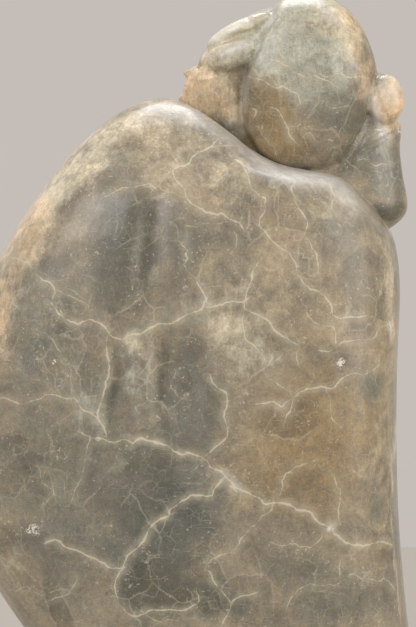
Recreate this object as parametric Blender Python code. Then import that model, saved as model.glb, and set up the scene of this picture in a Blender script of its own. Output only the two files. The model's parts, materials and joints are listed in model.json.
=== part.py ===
"""A woman seated in a blanket, carved from one block of veined alabaster, on a low stone plinth.

Metres, +Z up. The origin is the middle of the plinth's underside. She faces -X, and -Y is her left side.
The carving's outline and forms are shares of the figure's height. The plinth goes round the foot of it.
"""

import math

import bmesh
import bpy
from mathutils import Matrix, Vector

# Driving dimensions, in metres
FIGURE_HEIGHT = 0.337
PLINTH_HEIGHT = 0.025
PLINTH_MARGIN = 0.015
PLINTH_CORNER_RADIUS = 0.024
PLINTH_EDGE_BEVEL = 0.003
BED_GAP = 0.0003

# Level sections of the blanket, from hem to collar: height, front edge, back edge, half width
BLANKET_SECTIONS = [
    (0.000, -0.198, 0.251, 0.150),
    (0.040, -0.208, 0.245, 0.156),
    (0.097, -0.243, 0.235, 0.164),
    (0.158, -0.291, 0.224, 0.171),
    (0.227, -0.336, 0.216, 0.177),
    (0.307, -0.371, 0.209, 0.182),
    (0.407, -0.387, 0.205, 0.184),
    (0.514, -0.377, 0.205, 0.182),
    (0.607, -0.344, 0.208, 0.176),
    (0.660, -0.316, 0.204, 0.170),
    (0.692, -0.298, 0.194, 0.166),
    (0.721, -0.279, 0.170, 0.160),
    (0.742, -0.263, 0.150, 0.152),
    (0.756, -0.253, 0.136, 0.144),
    (0.765, -0.247, 0.112, 0.137),
    (0.770, -0.243, 0.080, 0.133),
    (0.778, -0.237, 0.047, 0.127),
    (0.795, -0.222, 0.015, 0.115),
    (0.822, -0.192, -0.019, 0.096),
    (0.845, -0.160, -0.052, 0.074),
    (0.857, -0.135, -0.076, 0.055),
    (0.8625, -0.116, -0.092, 0.036),
]
SECTION_STEPS = 2
BLANKET_COLUMNS = 40
BLANKET_SQUARENESS = (3.1, 4.6)

# Where the blanket is widest: at her seat, at the knees and at the collar
WIDEST_SEAT = 0.030
WIDEST_KNEES = -0.045
WIDEST_COLLAR = -0.104

# The blanket's free edge, lapped over on her front from collar to hem, placed by turns from straight ahead
LAP_TURN_COLLAR = math.radians(10)
LAP_TURN_HEM = math.radians(27)
LAP_STEP_HEM = 0.0060
LAP_STEP_COLLAR = 0.0024
LAP_STEP_THINS_FROM = 0.74
LAP_FADE_TURN = math.radians(80)
LAP_LIP_TURN = math.radians(0.6)

# The hollow that the blanket makes between her shins: it deepens above the hem and ends at the knees
SHIN_HOLLOW_DEPTH = 0.016
SHIN_HOLLOW_HALF_WIDTH = 0.050
SHIN_HOLLOW_FULL = (0.12, 0.18)
KNEE_HEIGHT = 0.40

# Shoes under the hem: place of one, half sizes, and how far the toes turn out
SHOE_PLACE = (-0.178, 0.062, 0.006)
SHOE_HALF_SIZES = (0.074, 0.036, 0.030)
SHOE_TURN = math.radians(9)

# The head: chin to crown, the place of its middle, and how far the face is raised
HEAD_HEIGHT = 0.110
HEAD_PLACE = (-0.0185, 0.0, 0.8790)
HEAD_RAISED = math.radians(29)

# The face in head heights, level by level from the chin up: level, half width, depth in front of the middle
FACE_LEVELS = [
    (-0.500, 0.100, 0.330),
    (-0.470, 0.155, 0.405),
    (-0.415, 0.200, 0.446),
    (-0.340, 0.238, 0.440),
    (-0.250, 0.274, 0.450),
    (-0.160, 0.304, 0.458),
    (-0.060, 0.328, 0.456),
    (0.050, 0.342, 0.436),
    (0.120, 0.346, 0.458),
    (0.210, 0.342, 0.452),
    (0.330, 0.312, 0.395),
    (0.420, 0.250, 0.290),
]
FACE_STEPS = 3
FACE_COLUMNS = 20
FACE_FULLNESS = 0.62
FACE_BACK = -0.20
FACE_BACK_WIDTH = 0.8
FEATURES_FADE = 0.5

# Soft features in head heights: how far out, distance from the middle line, its spread, level, its spread
SOFT_FEATURES = [
    ("nose wings", 0.040, 0.050, 0.024, -0.135, 0.026),
    ("eye sockets", -0.050, 0.135, 0.075, 0.022, 0.052),
    ("eyes", 0.036, 0.150, 0.050, 0.012, 0.030),
    ("brows", 0.012, 0.140, 0.090, 0.098, 0.030),
    ("hollow under the lip", -0.014, 0.000, 0.090, -0.345, 0.026),
    ("chin", 0.014, 0.000, 0.080, -0.425, 0.045),
    ("cheeks", 0.012, 0.190, 0.075, -0.075, 0.080),
]

# The nose: its rise at the bridge and towards the tip, each with the levels between which it comes in
NOSE_BRIDGE = (0.060, 0.07, -0.06)
NOSE_TIP = (0.052, -0.03, -0.125)
NOSE_BASE = (-0.135, -0.175)
NOSE_HALF_WIDTH = (0.036, 0.056)

# The lips: how far out, level, spread, within half the mouth's width
MOUTH_HALF_WIDTH = 0.125
LIPS = [
    (0.034, -0.236, 0.020),
    (0.034, -0.288, 0.023),
    (-0.014, -0.261, 0.008),
]

# The neck opening in the blanket, and the neck: its ends, its half width, and how much deeper than wide it is
COLLAR_CUT = ((0.004, 0.0, 0.848), (0.094, 0.062, 0.062), 24)
COLLAR_NOTCH = ((-0.112, 0.0, 0.872), (0.060, 0.026, 0.024), -22)
NECK_TOP = (-0.014, 0.0, 0.864)
NECK_FOOT = (0.052, 0.0, 0.720)
NECK_HALF_WIDTH = 0.0275
NECK_DEPTH_RATIO = 1.35
NECK_SPREAD = 1.35

# The hair over the brow: place, half sizes, and turn about Y in degrees. The locks spread back from a parting
CROWN_HAIR = ((0.020, 0.0, 0.9490), (0.056, 0.043, 0.0250), -27)
UPPER_LOCK = ((-0.005, 0.0245, 0.9475), (0.0480, 0.0235, 0.0180), -28)
LOWER_LOCK = ((-0.0120, 0.0370, 0.9265), (0.0330, 0.0215, 0.0230), -20)
LOCK_SQUARENESS = 2.3
LOCK_SPREAD = math.radians(13)
LOCK_TAPER = 0.34

# The smooth mass of hair over ears and nape, bottom to top: height, front edge, back edge, half width
HAIR_SECTIONS = [
    (0.7690, 0.066, 0.108, 0.017),
    (0.7735, 0.056, 0.124, 0.032),
    (0.7800, 0.040, 0.136, 0.042),
    (0.7919, 0.022, 0.146, 0.051),
    (0.8137, 0.005, 0.156, 0.061),
    (0.8344, 0.001, 0.165, 0.067),
    (0.8611, 0.000, 0.173, 0.071),
    (0.8860, 0.002, 0.178, 0.072),
    (0.9145, 0.007, 0.174, 0.070),
    (0.9438, 0.018, 0.163, 0.063),
    (0.9639, 0.029, 0.152, 0.056),
    (0.9812, 0.041, 0.136, 0.045),
    (0.9946, 0.055, 0.113, 0.027),
    (1.0000, 0.070, 0.096, 0.013),
]
HAIR_STEPS = 2
HAIR_COLUMNS = 32
HAIR_SQUARENESS = (3.6, 2.3)

# The knot at the nape, bound at its waist: the lower lobe as sections, the upper one as a turned cushion
KNOT_SECTIONS = [
    (0.688, 0.150, 0.192, 0.026),
    (0.699, 0.110, 0.2075, 0.041),
    (0.713, 0.085, 0.2180, 0.048),
    (0.731, 0.075, 0.2185, 0.049),
    (0.761, 0.070, 0.2125, 0.044),
    (0.794, 0.075, 0.2085, 0.038),
    (0.815, 0.090, 0.2100, 0.034),
    (0.825, 0.100, 0.2105, 0.032),
    (0.833, 0.105, 0.2040, 0.030),
    (0.848, 0.120, 0.1920, 0.026),
    (0.860, 0.130, 0.1800, 0.022),
]
KNOT_COLUMNS = 22
KNOT_SQUARENESS = (2.8, 2.8)
KNOT_TOP = ((0.1885, 0.0, 0.8650), (0.0235, 0.040, 0.0310), -14)
KNOT_TOP_SQUARENESS = 3.2

ALABASTER = (0.60, 0.56, 0.47)
PLINTH_STONE = (0.34, 0.33, 0.31)


def smooth_step(value, low, high):
    """0 below low, 1 above high, and a smooth rise between."""
    share = min(1.0, max(0.0, (value - low) / (high - low)))
    return share * share * (3 - 2 * share)


def bump(distance, half_width):
    """1 at no distance, falling away like a bell."""
    return math.exp(-((distance / half_width) ** 2))


def curve_point(before, here, there, after, t):
    """A number t of the way from here to there, on a smooth curve through all four."""
    bend = 2 * before - 5 * here + 4 * there - after
    twist = 3 * here - before - 3 * there + after
    return 0.5 * (2 * here + (there - before) * t + bend * t * t + twist * t ** 3)


def smooth_rows(rows, steps):
    """Rows of numbers with steps - 1 more between each two, on a smooth curve through them all."""
    made = []
    for index in range(len(rows) - 1):
        before = rows[max(index - 1, 0)]
        here, there = rows[index], rows[index + 1]
        after = rows[min(index + 2, len(rows) - 1)]
        for step in range(steps):
            made.append(tuple(curve_point(*four, step / steps) for four in zip(before, here, there, after)))
    made.append(rows[-1])
    return made


def signed_power(value, power):
    """The power of a number's size, with the number's own sign."""
    return math.copysign(abs(value) ** power, value)


def section_point(turn, front, middle, back, half_width, squareness):
    """A point of a level section, widest at its middle. Turn 0 is its front, a quarter turn its +Y side."""
    ahead = math.cos(turn) > 0
    reach = middle - front if ahead else back - middle
    power = 2 / squareness[0 if ahead else 1]
    x = middle - reach * signed_power(math.cos(turn), power)
    return x, half_width * signed_power(math.sin(turn), power)


def closed_loft(name, rings):
    """A solid through rings of points that all have the same count, capped flat at both ends."""
    mesh_maker = bmesh.new()
    loops = [[mesh_maker.verts.new(point) for point in ring] for ring in rings]
    count = len(rings[0])
    for low, high in zip(loops, loops[1:]):
        for column in range(count):
            beside = (column + 1) % count
            mesh_maker.faces.new((low[column], low[beside], high[beside], high[column]))
    mesh_maker.faces.new(loops[0][::-1])
    mesh_maker.faces.new(loops[-1])
    return object_of(name, mesh_maker)


def object_of(name, mesh_maker):
    """An object from the bmesh, its faces pointing out and made of triangles."""
    bmesh.ops.recalc_face_normals(mesh_maker, faces=mesh_maker.faces)
    bmesh.ops.triangulate(mesh_maker, faces=mesh_maker.faces)
    mesh = bpy.data.meshes.new(name)
    mesh_maker.to_mesh(mesh)
    mesh_maker.free()
    made = bpy.data.objects.new(name, mesh)
    bpy.context.scene.collection.objects.link(made)
    return made


def figure_place(place):
    """A point given in shares of the figure's height, in metres above the plinth."""
    return Vector(place) * FIGURE_HEIGHT + Vector((0, 0, PLINTH_HEIGHT + BED_GAP))


def ball(name, form, squareness=2.0, side=0.0, segments=(24, 14), turn_z=0.0, taper=0.0):
    """An ellipsoid with its poles on Y, or a cushion where squareness is over 2. side shifts it in Y.

    taper is how much thinner it is at its back end than at its front.
    """
    place, half_sizes, turn = form
    mesh_maker = bmesh.new()
    poles_on_y = Matrix.Rotation(math.pi / 2, 4, "X")
    bmesh.ops.create_uvsphere(
        mesh_maker, u_segments=segments[0], v_segments=segments[1], radius=1, matrix=poles_on_y
    )
    sizes = Vector(half_sizes) * FIGURE_HEIGHT
    turned = Matrix.Rotation(turn_z, 4, "Z") @ Matrix.Rotation(math.radians(turn), 4, "Y")
    middle = figure_place((place[0], place[1] + side, place[2]))
    for vert in mesh_maker.verts:
        across = math.hypot(vert.co.x, vert.co.z)
        size = (across ** squareness + abs(vert.co.y) ** squareness) ** (1 / squareness)
        thin = 1 - taper * (vert.co.x + 1) / 2
        thinned = Vector((1, thin, thin)) / size
        vert.co = turned @ (vert.co * sizes * thinned) + middle
    return object_of(name, mesh_maker)


def blanket_middle(height):
    """Where the blanket is widest at a height."""
    above_seat = (WIDEST_KNEES - WIDEST_SEAT) * smooth_step(height, 0.0, KNEE_HEIGHT)
    above_knees = (WIDEST_COLLAR - WIDEST_KNEES) * smooth_step(height, KNEE_HEIGHT, BLANKET_SECTIONS[-1][0])
    return WIDEST_SEAT + above_seat + above_knees


def blanket_ring(height, front, back, half_width):
    """One level ring of the blanket, starting at the free edge that laps over on her front."""
    collar = BLANKET_SECTIONS[-1][0]
    lap = LAP_TURN_HEM + (LAP_TURN_COLLAR - LAP_TURN_HEM) * height / collar
    step = LAP_STEP_HEM + (LAP_STEP_COLLAR - LAP_STEP_HEM) * smooth_step(height, LAP_STEP_THINS_FROM, collar)
    turns = [(lap, 0.0), (lap + LAP_LIP_TURN, 1.0)]
    for column in range(1, BLANKET_COLUMNS):
        past_lap = 2 * math.pi * column / BLANKET_COLUMNS
        turns.append((lap + past_lap, 1 - smooth_step(past_lap, 0, LAP_FADE_TURN)))
    hollow = SHIN_HOLLOW_DEPTH * smooth_step(height, 0, SHIN_HOLLOW_FULL[0])
    hollow *= 1 - smooth_step(height, SHIN_HOLLOW_FULL[1], KNEE_HEIGHT)
    middle = blanket_middle(height)
    ring = []
    for turn, tucked in turns:
        x, y = section_point(turn, front, middle, back, half_width, BLANKET_SQUARENESS)
        inward = Vector((middle - x, -y, 0)).normalized() * step * tucked
        if math.cos(turn) > 0:
            inward.x += hollow * bump(y, SHIN_HOLLOW_HALF_WIDTH) * math.cos(turn)
        ring.append(figure_place((x + inward.x, y + inward.y, height)))
    return ring


def make_blanket():
    """The whole body of the carving: a seated woman inside her blanket, knees to the front."""
    return closed_loft("woman", [blanket_ring(*row) for row in smooth_rows(BLANKET_SECTIONS, SECTION_STEPS)])


def hair_ring(section, columns, squareness):
    """One level ring of a mass of hair."""
    height, front, back, half_width = section
    ring = []
    for column in range(columns):
        turn = 2 * math.pi * column / columns
        x, y = section_point(turn, front, (front + back) / 2, back, half_width, squareness)
        ring.append(figure_place((x, y, height)))
    return ring


def make_hair():
    """The hair drawn back over ears and nape, and the lower lobe of its knot."""
    mass = [hair_ring(row, HAIR_COLUMNS, HAIR_SQUARENESS) for row in smooth_rows(HAIR_SECTIONS, HAIR_STEPS)]
    knot = [hair_ring(row, KNOT_COLUMNS, KNOT_SQUARENESS) for row in KNOT_SECTIONS]
    return closed_loft("hair_mass", mass), closed_loft("knot_lower", knot)


def pair(name, form, segments):
    """A lock of hair on her left and its twin on her right."""
    left = ball(f"{name}_left", form, LOCK_SQUARENESS, -2 * form[0][1], segments, -LOCK_SPREAD, LOCK_TAPER)
    return left, ball(f"{name}_right", form, LOCK_SQUARENESS, 0.0, segments, LOCK_SPREAD, LOCK_TAPER)


def head_place(forward, side, level):
    """A point of the head in head heights, from its middle, with the face raised."""
    cosine, sine = math.cos(HEAD_RAISED), math.sin(HEAD_RAISED)
    local = Vector((-forward * cosine + level * sine, side, forward * sine + level * cosine))
    return figure_place(Vector(HEAD_PLACE) + local * HEAD_HEIGHT)


def face_relief(side, level):
    """How far the features stand out of the plain face, or lie in it, in head heights."""
    relief = 0.0
    for _, out, away, spread, height, tall in SOFT_FEATURES:
        relief += out * bump(abs(side) - away, spread) * bump(level - height, tall)
    nose = sum(out * smooth_step(-level, -high, -low) for out, high, low in (NOSE_BRIDGE, NOSE_TIP))
    nose *= 1 - smooth_step(-level, -NOSE_BASE[0], -NOSE_BASE[1])
    wider = smooth_step(-level, -NOSE_BRIDGE[1], -NOSE_TIP[2])
    relief += nose * bump(side, NOSE_HALF_WIDTH[0] + (NOSE_HALF_WIDTH[1] - NOSE_HALF_WIDTH[0]) * wider)
    mouth = max(0.0, 1 - (side / MOUTH_HALF_WIDTH) ** 2)
    return relief + mouth * sum(out * bump(level - height, tall) for out, height, tall in LIPS)


def face_ring(level, half_width, depth):
    """One ring of the head at a level of the face: round the front, and flat behind, inside the hair."""
    ring = []
    for column in range(FACE_COLUMNS + 1):
        turn = math.pi * (column / FACE_COLUMNS - 0.5)
        side = half_width * math.sin(turn)
        forward = depth * math.cos(turn) ** FACE_FULLNESS if column not in (0, FACE_COLUMNS) else 0.0
        forward += face_relief(side, level) * smooth_step(math.cos(turn), 0.0, FEATURES_FADE)
        ring.append(head_place(forward, side, level))
    ring.append(head_place(FACE_BACK, half_width * FACE_BACK_WIDTH, level))
    ring.append(head_place(FACE_BACK, -half_width * FACE_BACK_WIDTH, level))
    return ring


def make_face():
    """The front of the head from under the chin to the hairline."""
    return closed_loft("face", [face_ring(*row) for row in smooth_rows(FACE_LEVELS, FACE_STEPS)])


def make_neck():
    """The neck, leaning forward out of the blanket."""
    top, foot = figure_place(NECK_TOP), figure_place(NECK_FOOT)
    along = top - foot
    lean = math.atan2(along.x, along.z)
    turned = Matrix.Translation((top + foot) / 2) @ Matrix.Rotation(lean, 4, "Y")
    deeper = Matrix.Diagonal((NECK_DEPTH_RATIO, 1, 1, 1))
    radius = NECK_HALF_WIDTH * FIGURE_HEIGHT
    mesh_maker = bmesh.new()
    bmesh.ops.create_cone(
        mesh_maker, cap_ends=True, segments=20, radius1=radius * NECK_SPREAD, radius2=radius,
        depth=along.length, matrix=turned @ deeper,
    )
    return object_of("neck", mesh_maker)


def make_shoe(name, side):
    """The toe of a shoe under the hem, cut flat where it stands on the plinth. side is -1 for her left."""
    form = (SHOE_PLACE, SHOE_HALF_SIZES, 0)
    shoe = ball(name, form, side=(side - 1) * SHOE_PLACE[1], segments=(16, 10), turn_z=-side * SHOE_TURN)
    mesh_maker = bmesh.new()
    mesh_maker.from_mesh(shoe.data)
    bed = figure_place((0, 0, 0))
    cut = bmesh.ops.bisect_plane(
        mesh_maker, geom=mesh_maker.verts[:] + mesh_maker.edges[:] + mesh_maker.faces[:],
        plane_co=bed, plane_no=(0, 0, 1), clear_inner=True,
    )
    rim = [item for item in cut["geom_cut"] if isinstance(item, bmesh.types.BMEdge)]
    bmesh.ops.edgeloop_fill(mesh_maker, edges=rim)
    bmesh.ops.triangulate(mesh_maker, faces=mesh_maker.faces)
    bmesh.ops.recalc_face_normals(mesh_maker, faces=mesh_maker.faces)
    mesh_maker.to_mesh(shoe.data)
    mesh_maker.free()
    return shoe


def combine(target, helpers, operation):
    """A Boolean of helpers on target, which hides them and keeps them as guides."""
    group = bpy.data.collections.new(f"{target.name}_{operation.lower()}")
    bpy.context.scene.collection.children.link(group)
    for helper in helpers:
        bpy.context.scene.collection.objects.unlink(helper)
        group.objects.link(helper)
        helper.hide_render = True
        helper.display_type = "WIRE"
    modifier = target.modifiers.new(operation.title(), "BOOLEAN")
    modifier.operation = operation
    modifier.solver = "EXACT"
    modifier.operand_type = "COLLECTION"
    modifier.collection = group
    modifier.use_self = False


def make_woman():
    """The carving: blanket, shoes, neck, face and hair joined as one stone."""
    woman = make_blanket()
    combine(woman, [
        ball("collar_cut", COLLAR_CUT, segments=(20, 12)),
        ball("collar_notch", COLLAR_NOTCH, segments=(16, 10)),
    ], "DIFFERENCE")
    combine(woman, [
        make_neck(),
        make_face(),
        *make_hair(),
        ball("crown_hair", CROWN_HAIR, LOCK_SQUARENESS, segments=(20, 14)),
        *pair("upper_lock", UPPER_LOCK, (16, 10)),
        *pair("lower_lock", LOWER_LOCK, (16, 10)),
        ball("knot_upper", KNOT_TOP, KNOT_TOP_SQUARENESS, segments=(20, 14)),
        make_shoe("shoe_left", -1),
        make_shoe("shoe_right", 1),
    ], "UNION")
    woman.data.materials.append(stone("alabaster", ALABASTER, 0.32))
    return woman


def round_over(mesh_maker, edges, radius, segments):
    """Rounds the edges over at a radius."""
    bmesh.ops.bevel(
        mesh_maker, geom=edges, offset=radius, offset_type="OFFSET", segments=segments, profile=0.5,
        affect="EDGES",
    )


def make_plinth():
    """A plain low slab with round corners and an eased top edge, a margin wider all round than her foot."""
    toes = SHOE_HALF_SIZES[0] - SHOE_PLACE[0]
    _, _, hem_back, hem_half_width = BLANKET_SECTIONS[0]
    length = 2 * max(toes, hem_back) * FIGURE_HEIGHT + 2 * PLINTH_MARGIN
    width = 2 * hem_half_width * FIGURE_HEIGHT + 2 * PLINTH_MARGIN
    plinth = bpy.data.objects.new("plinth", bpy.data.meshes.new("plinth"))
    bpy.context.scene.collection.objects.link(plinth)
    mesh_maker = bmesh.new()
    bmesh.ops.create_cube(mesh_maker, size=1)
    bmesh.ops.scale(mesh_maker, vec=(length, width, PLINTH_HEIGHT), verts=mesh_maker.verts)
    bmesh.ops.translate(mesh_maker, vec=(0, 0, PLINTH_HEIGHT / 2), verts=mesh_maker.verts)
    upright = [e for e in mesh_maker.edges if abs(e.verts[0].co.z - e.verts[1].co.z) > PLINTH_HEIGHT / 2]
    round_over(mesh_maker, upright, PLINTH_CORNER_RADIUS, 6)
    rim = [e for e in mesh_maker.edges if min(v.co.z for v in e.verts) > PLINTH_HEIGHT / 2]
    round_over(mesh_maker, rim, PLINTH_EDGE_BEVEL, 3)
    mesh_maker.to_mesh(plinth.data)
    mesh_maker.free()
    plinth.data.materials.append(stone("plinth_stone", PLINTH_STONE, 0.45))
    return plinth


def stone(name, colour, roughness):
    """A plain stone finish."""
    material = bpy.data.materials.new(name)
    material.use_nodes = True
    shader = material.node_tree.nodes["Principled BSDF"]
    shader.inputs["Base Color"].default_value = (*colour, 1)
    shader.inputs["Roughness"].default_value = roughness
    shader.inputs["Metallic"].default_value = 0.0
    return material


def main():
    for old in list(bpy.data.objects):
        bpy.data.objects.remove(old)
    woman = make_woman()
    make_plinth()
    woman.data.shade_smooth()


main()
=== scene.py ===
"""The looks of a carved alabaster woman in her blanket, on a honed stone plinth.

Metres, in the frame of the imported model: she faces -X, and -Y is her left side, which the camera sees. The
carving's forms are shares of the figure's height. Places on the stone's skin, such as veins and clouds of
colour, are pixels of the 416 x 627 photograph, which project() turns each point of the carving into.
"""

import json
import math

import bpy
import numpy as np
from mathutils import Matrix, Vector, noise

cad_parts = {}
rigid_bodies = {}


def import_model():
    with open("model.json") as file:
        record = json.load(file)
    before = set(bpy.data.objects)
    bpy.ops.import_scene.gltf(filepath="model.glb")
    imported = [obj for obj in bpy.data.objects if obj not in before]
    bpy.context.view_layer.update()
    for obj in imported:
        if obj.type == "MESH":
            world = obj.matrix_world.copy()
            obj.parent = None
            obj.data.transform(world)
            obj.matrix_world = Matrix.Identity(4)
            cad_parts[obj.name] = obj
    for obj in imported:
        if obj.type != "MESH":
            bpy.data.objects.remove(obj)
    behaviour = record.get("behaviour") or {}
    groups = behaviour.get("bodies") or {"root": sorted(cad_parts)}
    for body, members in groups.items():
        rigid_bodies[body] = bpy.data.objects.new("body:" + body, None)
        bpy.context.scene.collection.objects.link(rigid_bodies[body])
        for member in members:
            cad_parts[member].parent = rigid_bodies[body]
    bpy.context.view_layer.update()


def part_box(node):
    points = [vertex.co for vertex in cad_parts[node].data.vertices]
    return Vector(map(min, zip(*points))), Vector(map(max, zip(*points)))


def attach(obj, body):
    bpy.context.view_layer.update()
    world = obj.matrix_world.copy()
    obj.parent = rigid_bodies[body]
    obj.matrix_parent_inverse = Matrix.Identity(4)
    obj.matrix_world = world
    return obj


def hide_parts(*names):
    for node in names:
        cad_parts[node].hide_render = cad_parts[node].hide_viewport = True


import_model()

# The figure's height and where its foot stands, from the frame
FIGURE_LOW, FIGURE_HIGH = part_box("woman")
HEIGHT = FIGURE_HIGH[2] - FIGURE_LOW[2]
BED = FIGURE_LOW[2]
MM = 0.001

# The photograph: its size, its scale at the figure's middle plane, and the pixels of the crown and of x = 0
PHOTO_WIDTH, PHOTO_HEIGHT = 416, 627
PIXEL = 0.45 * MM
CROWN_ROW = -4
MIDDLE_COLUMN = 242
CAMERA_DISTANCE = 1.0
CAMERA_TILT = math.radians(6)
AIM = (
    (PHOTO_WIDTH / 2 - MIDDLE_COLUMN) * PIXEL,
    0.0,
    FIGURE_HIGH[2] - (PHOTO_HEIGHT / 2 - CROWN_ROW) * PIXEL,
)

# How fine the carving's skin is, and how much its edges are rubbed down
BODY_GRAIN = 2.1 * MM
HEAD_GRAIN = 0.83 * MM
BODY_RUBS = 5
HEAD_RUBS = 2
RUB = 0.5
JOIN_CREASE = math.radians(24)
JOIN_RUBS = 4

# The plinth's rounded corners and eased edges
PLINTH_CORNER_RADIUS = 24 * MM
PLINTH_CORNER_STEPS = 24
PLINTH_EASED_EDGE = 3 * MM
PLINTH_EDGE_STEPS = 6
PLINTH_CREASE = math.radians(60)
PLINTH_SHADED_TO = math.radians(30)

# Level sections of the blanket, from hem to collar: height, front edge, back edge, half width
BLANKET_SECTIONS = [
    (0.000, -0.198, 0.251, 0.150),
    (0.040, -0.208, 0.245, 0.156),
    (0.097, -0.243, 0.235, 0.164),
    (0.158, -0.291, 0.224, 0.171),
    (0.227, -0.336, 0.216, 0.177),
    (0.307, -0.371, 0.209, 0.182),
    (0.407, -0.387, 0.205, 0.184),
    (0.514, -0.377, 0.205, 0.182),
    (0.607, -0.344, 0.208, 0.176),
    (0.660, -0.316, 0.204, 0.170),
    (0.692, -0.298, 0.194, 0.166),
    (0.721, -0.279, 0.170, 0.160),
    (0.742, -0.263, 0.150, 0.152),
    (0.756, -0.253, 0.136, 0.144),
    (0.765, -0.247, 0.112, 0.137),
    (0.770, -0.243, 0.080, 0.133),
    (0.778, -0.237, 0.047, 0.127),
    (0.795, -0.222, 0.015, 0.115),
    (0.822, -0.192, -0.019, 0.096),
    (0.845, -0.160, -0.052, 0.074),
    (0.857, -0.135, -0.076, 0.055),
    (0.8625, -0.116, -0.092, 0.036),
]
COLLAR = BLANKET_SECTIONS[-1][0]
BLANKET_STEPS = 7
BLANKET_COLUMNS = 260
BLANKET_SQUARENESS = (3.1, 6.0)

# How far the middle of the back stands proud of its sides. That fades in round to the back, by the cosine of
# the turn from there, and with the blanket's depth behind its widest place, in shares of the figure's height
BACK_CROWN = 0.020
BACK_CROWN_TURNS = (0.2, 0.8)
BACK_CROWN_DEPTHS = (0.05, 0.2)

# Where the blanket is widest: at her seat, at the knees and at the collar
WIDEST_SEAT = 0.030
WIDEST_KNEES = -0.045
WIDEST_COLLAR = -0.104

# The blanket's free edge on her front, the hollow between her shins, and her shoes
LAP_TURN_COLLAR = math.radians(10)
LAP_TURN_HEM = math.radians(27)
LAP_STEP_HEM = 0.0080
LAP_STEP_COLLAR = 0.0040
LAP_STEP_THINS_FROM = 0.74
LAP_FADE_TURN = math.radians(80)
LAP_LIP_TURN = math.radians(0.6)
SHIN_HOLLOW_DEPTH = 0.016
SHIN_HOLLOW_HALF_WIDTH = 0.050
SHIN_HOLLOW_FULL = (0.12, 0.18)
KNEE_HEIGHT = 0.40
SHOE = ((-0.178, 0.062, 0.006), (0.074, 0.036, 0.030), 0)
SHOE_TURN = math.radians(9)

# The neck opening and the neck
COLLAR_CUT = ((0.004, 0.0, 0.848), (0.094, 0.062, 0.062), 24)
COLLAR_NOTCH = ((-0.112, 0.0, 0.872), (0.060, 0.026, 0.024), -22)
NECK = ((0.019, 0.0, 0.800), (0.040, 0.030, 0.100), -22)

# The head: chin to crown, the place of its middle, and how far the face is raised
HEAD_HEIGHT = 0.110
HEAD_PLACE = (-0.0185, 0.0, 0.8790)
HEAD_RAISED = math.radians(29)

# The hair: place, half sizes and turn about Y of the parts over the brow, then the sections of the mass
CROWN_HAIR = ((0.020, 0.0, 0.9470), (0.056, 0.045, 0.0265), -27)
UPPER_LOCK = ((-0.005, 0.0290, 0.9490), (0.0480, 0.0265, 0.0165), -29)
LOWER_LOCK = ((-0.0130, 0.0400, 0.9205), (0.0345, 0.0235, 0.0240), -20)
THROAT = ((0.004, 0.0, 0.842), (0.040, 0.031, 0.056), -34)
LOCK_SQUARENESS = 2.3
LOCK_SPREAD = math.radians(13)
LOCK_TAPER = 0.34
HAIR_SECTIONS = [
    (0.7670, 0.066, 0.112, 0.022),
    (0.7715, 0.054, 0.130, 0.040),
    (0.7790, 0.038, 0.142, 0.051),
    (0.7919, 0.020, 0.150, 0.058),
    (0.8137, 0.005, 0.158, 0.065),
    (0.8344, 0.001, 0.165, 0.069),
    (0.8611, 0.000, 0.173, 0.071),
    (0.8860, 0.002, 0.178, 0.072),
    (0.9145, 0.007, 0.174, 0.070),
    (0.9438, 0.018, 0.163, 0.063),
    (0.9639, 0.029, 0.152, 0.056),
    (0.9812, 0.041, 0.136, 0.045),
    (0.9946, 0.055, 0.113, 0.027),
    (1.0000, 0.070, 0.096, 0.013),
]
HAIR_STEPS = 6
HAIR_COLUMNS = 120
HAIR_SQUARENESS = (4.8, 2.4)
KNOT_SECTIONS = [
    (0.688, 0.150, 0.192, 0.026),
    (0.699, 0.110, 0.2075, 0.041),
    (0.713, 0.085, 0.2180, 0.048),
    (0.731, 0.075, 0.2185, 0.049),
    (0.761, 0.070, 0.2125, 0.044),
    (0.794, 0.075, 0.2085, 0.038),
    (0.815, 0.090, 0.2100, 0.034),
    (0.825, 0.100, 0.2105, 0.032),
    (0.833, 0.105, 0.2040, 0.030),
    (0.848, 0.120, 0.1920, 0.026),
    (0.860, 0.130, 0.1800, 0.022),
]
KNOT_STEPS = 5
KNOT_COLUMNS = 80
KNOT_SQUARENESS = (2.8, 2.8)
KNOT_TOP = ((0.1865, 0.0, 0.8610), (0.0260, 0.044, 0.0345), -4)
KNOT_TOP_SQUARENESS = 4.0

# The plain face in head heights, from the chin up: level, half width, depth in front of the middle
FACE_LEVELS = [
    (-0.500, 0.100, 0.330),
    (-0.470, 0.155, 0.405),
    (-0.415, 0.200, 0.446),
    (-0.340, 0.238, 0.440),
    (-0.250, 0.274, 0.450),
    (-0.160, 0.304, 0.458),
    (-0.060, 0.328, 0.456),
    (0.050, 0.342, 0.436),
    (0.120, 0.346, 0.458),
    (0.210, 0.342, 0.452),
    (0.330, 0.312, 0.395),
    (0.420, 0.250, 0.290),
]
FACE_STEPS = 8
FACE_COLUMNS = 72
FACE_FULLNESS = 0.62
FACE_BACK = -0.20
FACE_BACK_WIDTH = 0.8
FEATURES_FADE = 0.5

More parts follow.
